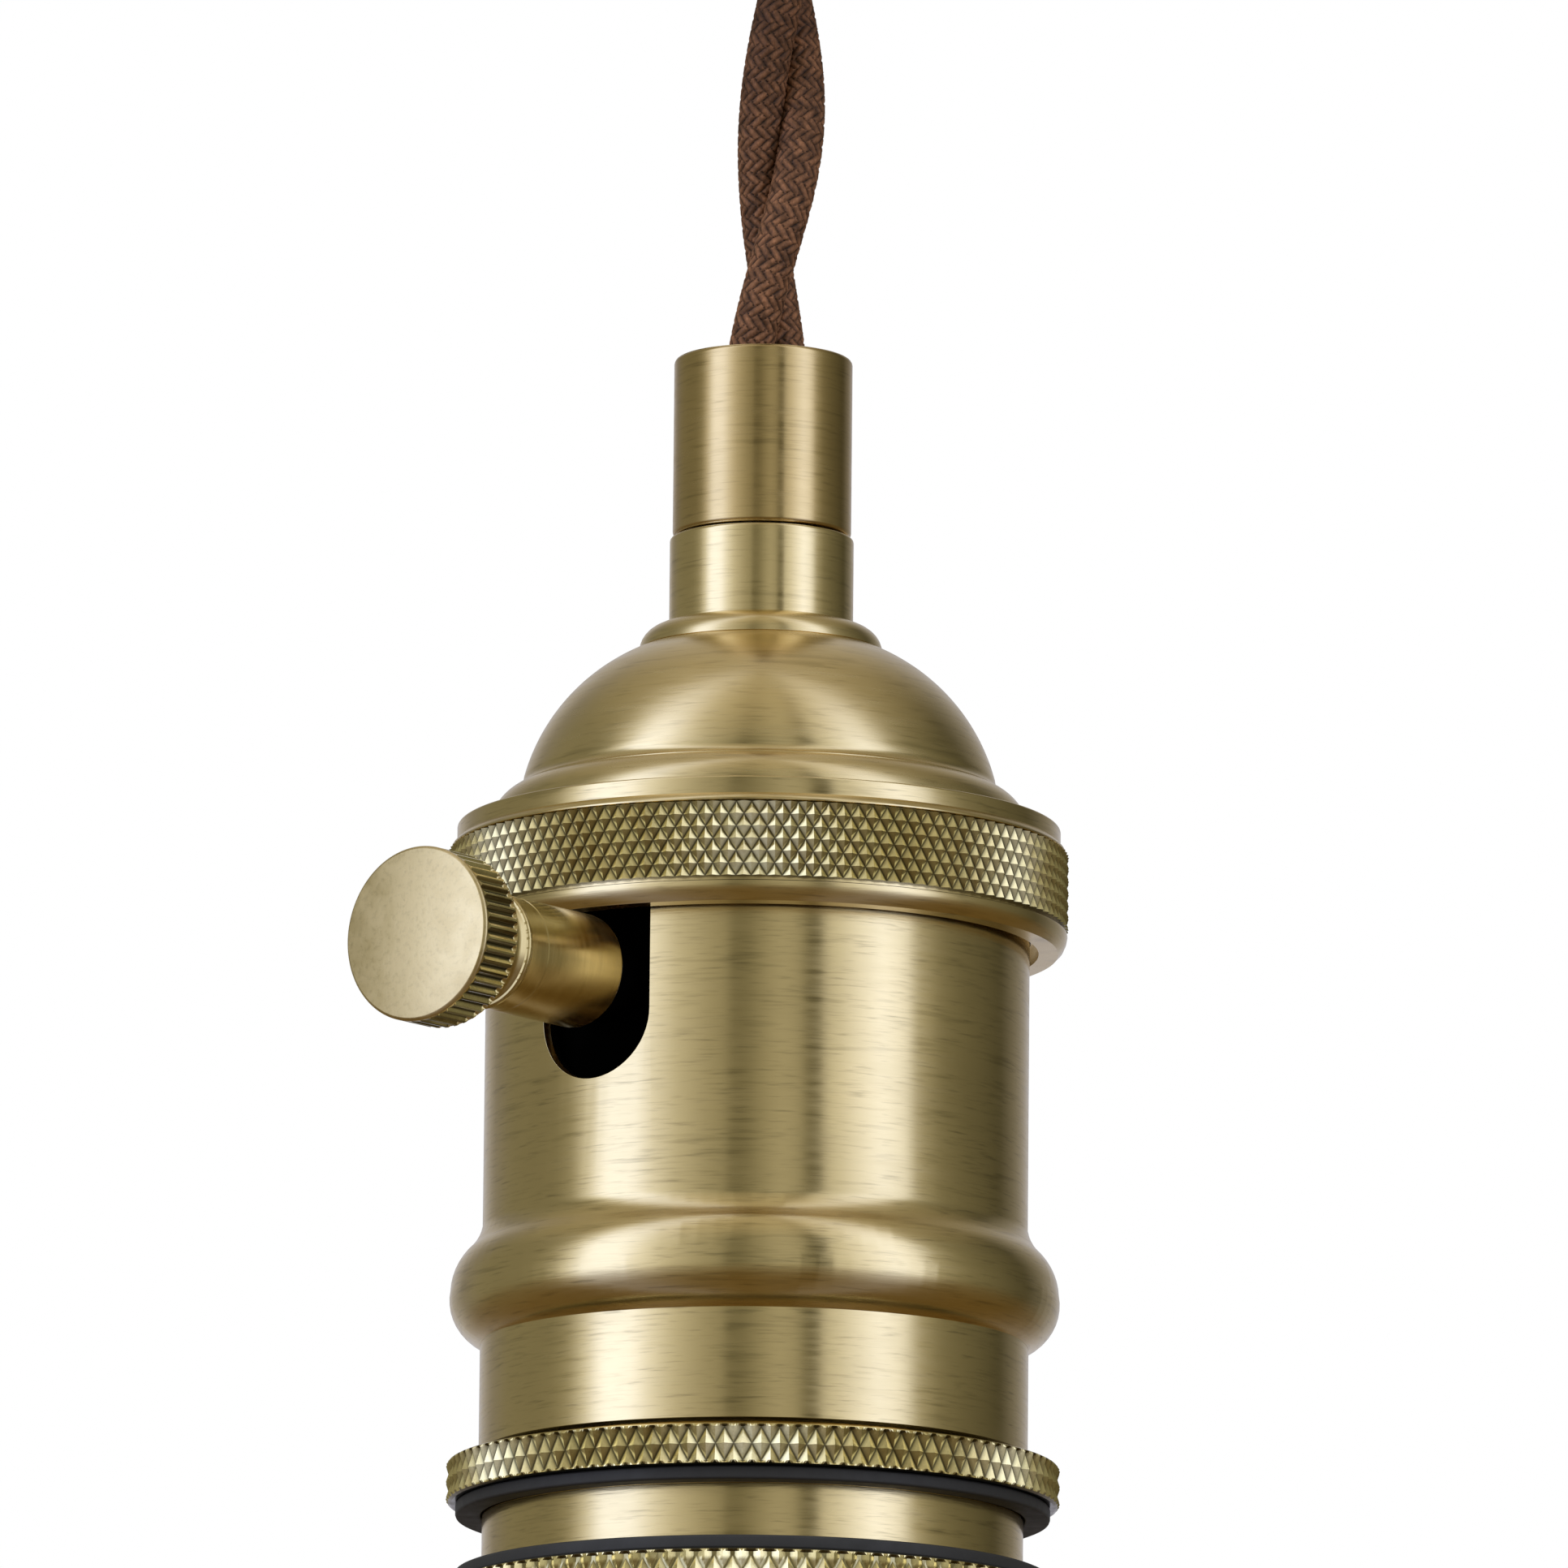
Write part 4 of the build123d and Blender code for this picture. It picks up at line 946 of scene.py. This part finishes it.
def turned_brass(name, axis="Z", roughness=0.2, streak=1.0, colour=BRASS):
    """Satin brass turned about an axis: short fine dashes around it, and duller patches."""
    surface = Surface(name, colour, roughness, metallic=1.0)
    along, across = 330.0, 4600.0
    scale = {"Z": (along, along, across), "Y": (along, across, along)}[axis]
    wide = tuple(s * 0.42 for s in scale)
    fine = surface.noise(surface.stretched(scale), detail=2, rough=0.6)
    broad = surface.noise(surface.stretched(wide, (3, 5, 7)), detail=2, rough=0.6)
    cloud = surface.noise(surface.stretched((140, 140, 140), (1, 2, 3)), detail=3)
    dark = 1 - 0.34 * streak
    dashes = surface.greys(fine, [(0.22, dark), (0.36, 1 - 0.1 * streak), (0.46, 1.0)])
    bands = surface.greys(broad, [(0.25, 1 - 0.22 * streak), (0.42, 1.0)])
    tone = surface.multiply(surface.multiply(surface.tones(cloud, 0.05), dashes), bands)
    surface.into(tone, "Base Color")
    surface.into(surface.between(broad, roughness - 0.04, roughness + 0.05), "Roughness")
    surface.bump(fine, 0.010 * MM * streak, 0.6)
    surface.shader.inputs["Anisotropic"].default_value = 0.55
    surface.shader.inputs["Anisotropic Rotation"].default_value = 0.25
    tangent = surface.nodes.new("ShaderNodeTangent")
    tangent.direction_type = "RADIAL"
    tangent.axis = axis
    surface.into(tangent.outputs["Tangent"], "Tangent")
    return surface.material


def plain_brass(name, roughness, spread, grain, colour=BRASS, speck=0.82, painted_hollow_shade=False):
    """Brass with no lay: mottled tone, a fine tumbled grain and, if asked, painted shade in the
    roots of knurls and flutes and on faces that look down.
    """
    surface = Surface(name, colour, roughness, metallic=1.0)
    grains = surface.noise(surface.stretched((grain, grain, grain)), detail=4, rough=0.65)
    cloud = surface.noise(surface.stretched((grain / 4, grain / 4, grain / 4)), detail=3)
    specks = surface.greys(grains, [(0.3, speck), (0.5, 1.0)])
    tone = surface.multiply(surface.tones(cloud, spread), specks)
    if painted_hollow_shade:
        # painted shade: the roots of knurls and flutes darkened, where shade falls between the
        # diamonds and grooves
        roots = surface.greys(surface.relief(), [(0.0, 0.15), (0.22, 0.72), (0.5, 1.0)])
        tone = surface.multiply(tone, roots)
        # painted shade: faces that look down darkened, as if they face a dark ground
        underside_shade = surface.greys(surface.lean(), [(0.25, 0.15), (0.43, 1.0)])
        tone = surface.multiply(tone, underside_shade)
    surface.into(tone, "Base Color")
    surface.into(surface.between(cloud, roughness - 0.06, roughness + 0.08), "Roughness")
    surface.bump(grains, 0.012 * MM, 0.5)
    return surface.material


def plain(name, colour, roughness, grain, spread=0.1, depth=0.01, metallic=0.0, gloss=0.5):
    """Any even material: drifting tone, uneven gloss and a fine grain in relief."""
    surface = Surface(name, colour, roughness, metallic)
    grains = surface.noise(surface.stretched((grain, grain, grain)), detail=4, rough=0.6)
    cloud = surface.noise(surface.stretched((grain / 6, grain / 6, grain / 6)), detail=2)
    surface.into(surface.tones(cloud, spread), "Base Color")
    gloss_range = (max(roughness - 0.07, 0.05), roughness + 0.08)
    surface.into(surface.between(grains, *gloss_range), "Roughness")
    surface.shader.inputs["Specular IOR Level"].default_value = gloss
    surface.bump(grains, depth * MM, 0.6)
    return surface.material


def braided_fabric():
    """Brown rayon braid: each yarn's fine filaments, painted light on the crowns and painted shade
    in the gaps.
    """
    surface = Surface("cord_fabric", CORD_BROWN, 0.6)
    fibres = surface.noise(surface.stretched((9000, 9000, 2600)), detail=3, rough=0.7)
    patches = surface.noise(surface.stretched((1100, 1100, 1100)), detail=3, rough=0.6)
    # painted shade in the gaps between yarns and painted light on their crowns
    depth = surface.greys(surface.relief(), [(0.2, 0.10), (0.5, 0.6), (0.95, 1.35)])
    uneven = surface.greys(patches, [(0.3, 0.5), (0.48, 1.0), (0.68, 1.6)])
    shine = surface.greys(fibres, [(0.3, 0.65), (0.7, 1.1)])
    tone = surface.multiply(surface.multiply(surface.tones(patches, 0.05), depth), uneven)
    surface.into(surface.multiply(tone, shine), "Base Color")
    surface.into(surface.between(fibres, 0.48, 0.7), "Roughness")
    surface.shader.inputs["Specular IOR Level"].default_value = 0.28
    surface.bump(fibres, 0.03 * MM, 0.8)
    return surface.material


def make_looks():
    """Materials by the record's slot, and a few finer ones for single pieces."""
    return {
        "brushed_brass": turned_brass("turned_brass"),
        "screw_brass": plain_brass("screw_brass", 0.28, 0.06, 1400, (0.86, 0.70, 0.40)),
        "steel": plain("zinc_steel", (0.62, 0.63, 0.64), 0.34, 1500, 0.06, 0.008, 1.0),
        "contact_bronze": plain_brass("sprung_bronze", 0.3, 0.08, 1800, (0.80, 0.55, 0.34)),
        # black phenolic, its own colour, darkened further as painted shade for the inside of the
        # slot
        "phenolic": plain("phenolic", (0.006, 0.0055, 0.005), 0.45, 1200, 0.2, 0.02, gloss=0.25),
        "nylon": plain("nylon", (0.72, 0.69, 0.6), 0.5, 900, 0.05, 0.01),
        # dark fibre board, its own colour, darkened further as painted shade for the inside of the
        # slot
        "fibre": plain("fibre_board", (0.003, 0.0027, 0.0025), 0.9, 2200, 0.25, 0.03, gloss=0.05),
        "rubber": plain("moulded_rubber", (0.03, 0.03, 0.03), 0.62, 700, 0.1, 0.015),
        "cord_fabric": braided_fabric(),
        "lead_red": plain("red_insulation", (0.35, 0.035, 0.025), 0.35, 500, 0.08, 0.01),
        "lead_white": plain("white_insulation", (0.80, 0.80, 0.76), 0.38, 500, 0.04, 0.01),
        "smooth_brass": turned_brass("smooth_brass", "Z", 0.2, 0.3),
        "dome_brass": turned_brass("dome_brass", "Z", 0.24, 0.7),
        "neck_brass": turned_brass("neck_brass", "Z", 0.2, 0.8),
        "grip_brass": turned_brass("grip_brass", "Z", 0.23, 0.8, GRIP_BRASS),
        "knurled_brass": plain_brass("knurled_brass", 0.19, 0.04, 2600, LIT_KNURL_BRASS, 0.9, True),
        "knob_face": plain_brass("knob_face", 0.34, 0.035, 2300, speck=0.86),
        "knob_side": turned_brass("knob_side", "Y", 0.22, 0.45, SHADED_KNOB_BRASS),
        # painted shade: near-black without gloss for the pieces seen through the slot
        "slot_shade_black": plain("slot_shade_black", SLOT_SHADE_COLOUR, 0.9, 2200, 0.25, 0.03, gloss=0.0),
    }


def paint(piece, *choices):
    """Gives a piece a material; each further (material, test) claims the faces that pass."""
    mesh = piece.data
    mesh.materials.clear()
    mesh.materials.append(choices[0])
    for index, (material, test) in enumerate(choices[1:], 1):
        mesh.materials.append(material)
        for face in mesh.polygons:
            if test(face):
                face.material_index = index


def on_lock_knurl(face):
    """Whether a face of the lock ring belongs to its knurl."""
    low, top, radius = LOCK_SPAN
    margin, depth = 0.05, 0.55
    start, end = low + LOCK_FOOT_HEIGHT - margin, top - LOCK_RIM_HEIGHT + margin
    reach = math.hypot(face.center.x, face.center.y) / MM
    return start < face.center.z / MM < end and reach > radius - depth


def paint_nodes(looks):
    """Every carried-over CAD node's material, by the record's slot."""
    for part in frame["record"]["subparts"]:
        paint(node_mesh(part["node"]), looks[part["material_slot"]])


# ---- the scene ------------------------------------------------------------------------
make_camera()
cord, cord_path = make_cord()
make_world()
make_floor()
make_lights()
looks = make_looks()
paint_nodes(looks)
# the switch shaft is painted near-black as well, as shade inside the slot
paint(node_mesh("switch_shaft"), looks["slot_shade_black"])
node_mesh("switch_shaft").visible_glossy = False
paint(cord, looks["cord_fabric"])

paint(make_lock_ring(), looks["brushed_brass"], (looks["knurled_brass"], on_lock_knurl))
for node in ("upper_shade_ring", "lower_shade_ring"):
    paint(make_shade_ring(node, "knurled_" + node), looks["knurled_brass"])

knob = make_knob()
knob.visible_glossy = False
knob_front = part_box("knob")[0].y
paint(
    knob,
    looks["knob_side"],
    (looks["knurled_brass"], lambda f: 0.4 * MM < f.center.y - knob_front < 3.7 * MM),
    (looks["knob_face"], lambda f: f.center.y - knob_front < 0.3 * MM),
)

paint(make_cap(), looks["dome_brass"])
paint(softened("outer_shell", "spun_shell", 0.14, make_skirt_thread()), looks["brushed_brass"])
paint(make_screw_shell(), looks["screw_brass"])
paint(make_nipple("nipple", "threaded_nipple"), looks["steel"])
ceiling_tube = make_nipple("ceiling_nipple", "threaded_ceiling_nipple")
paint(ceiling_tube, looks["steel"])
ceiling = [ceiling_tube, node_mesh("ceiling_leads")]
for node, (name, width, look) in ROUNDED.items():
    piece = softened(node, name, width)
    paint(piece, looks[look])
    if node.startswith("ceiling"):
        ceiling.append(piece)
    if node in UNREFLECTED:
        piece.visible_glossy = False

for piece in ceiling:
    piece.visible_glossy = False
declare_cord(cord, cord_path)
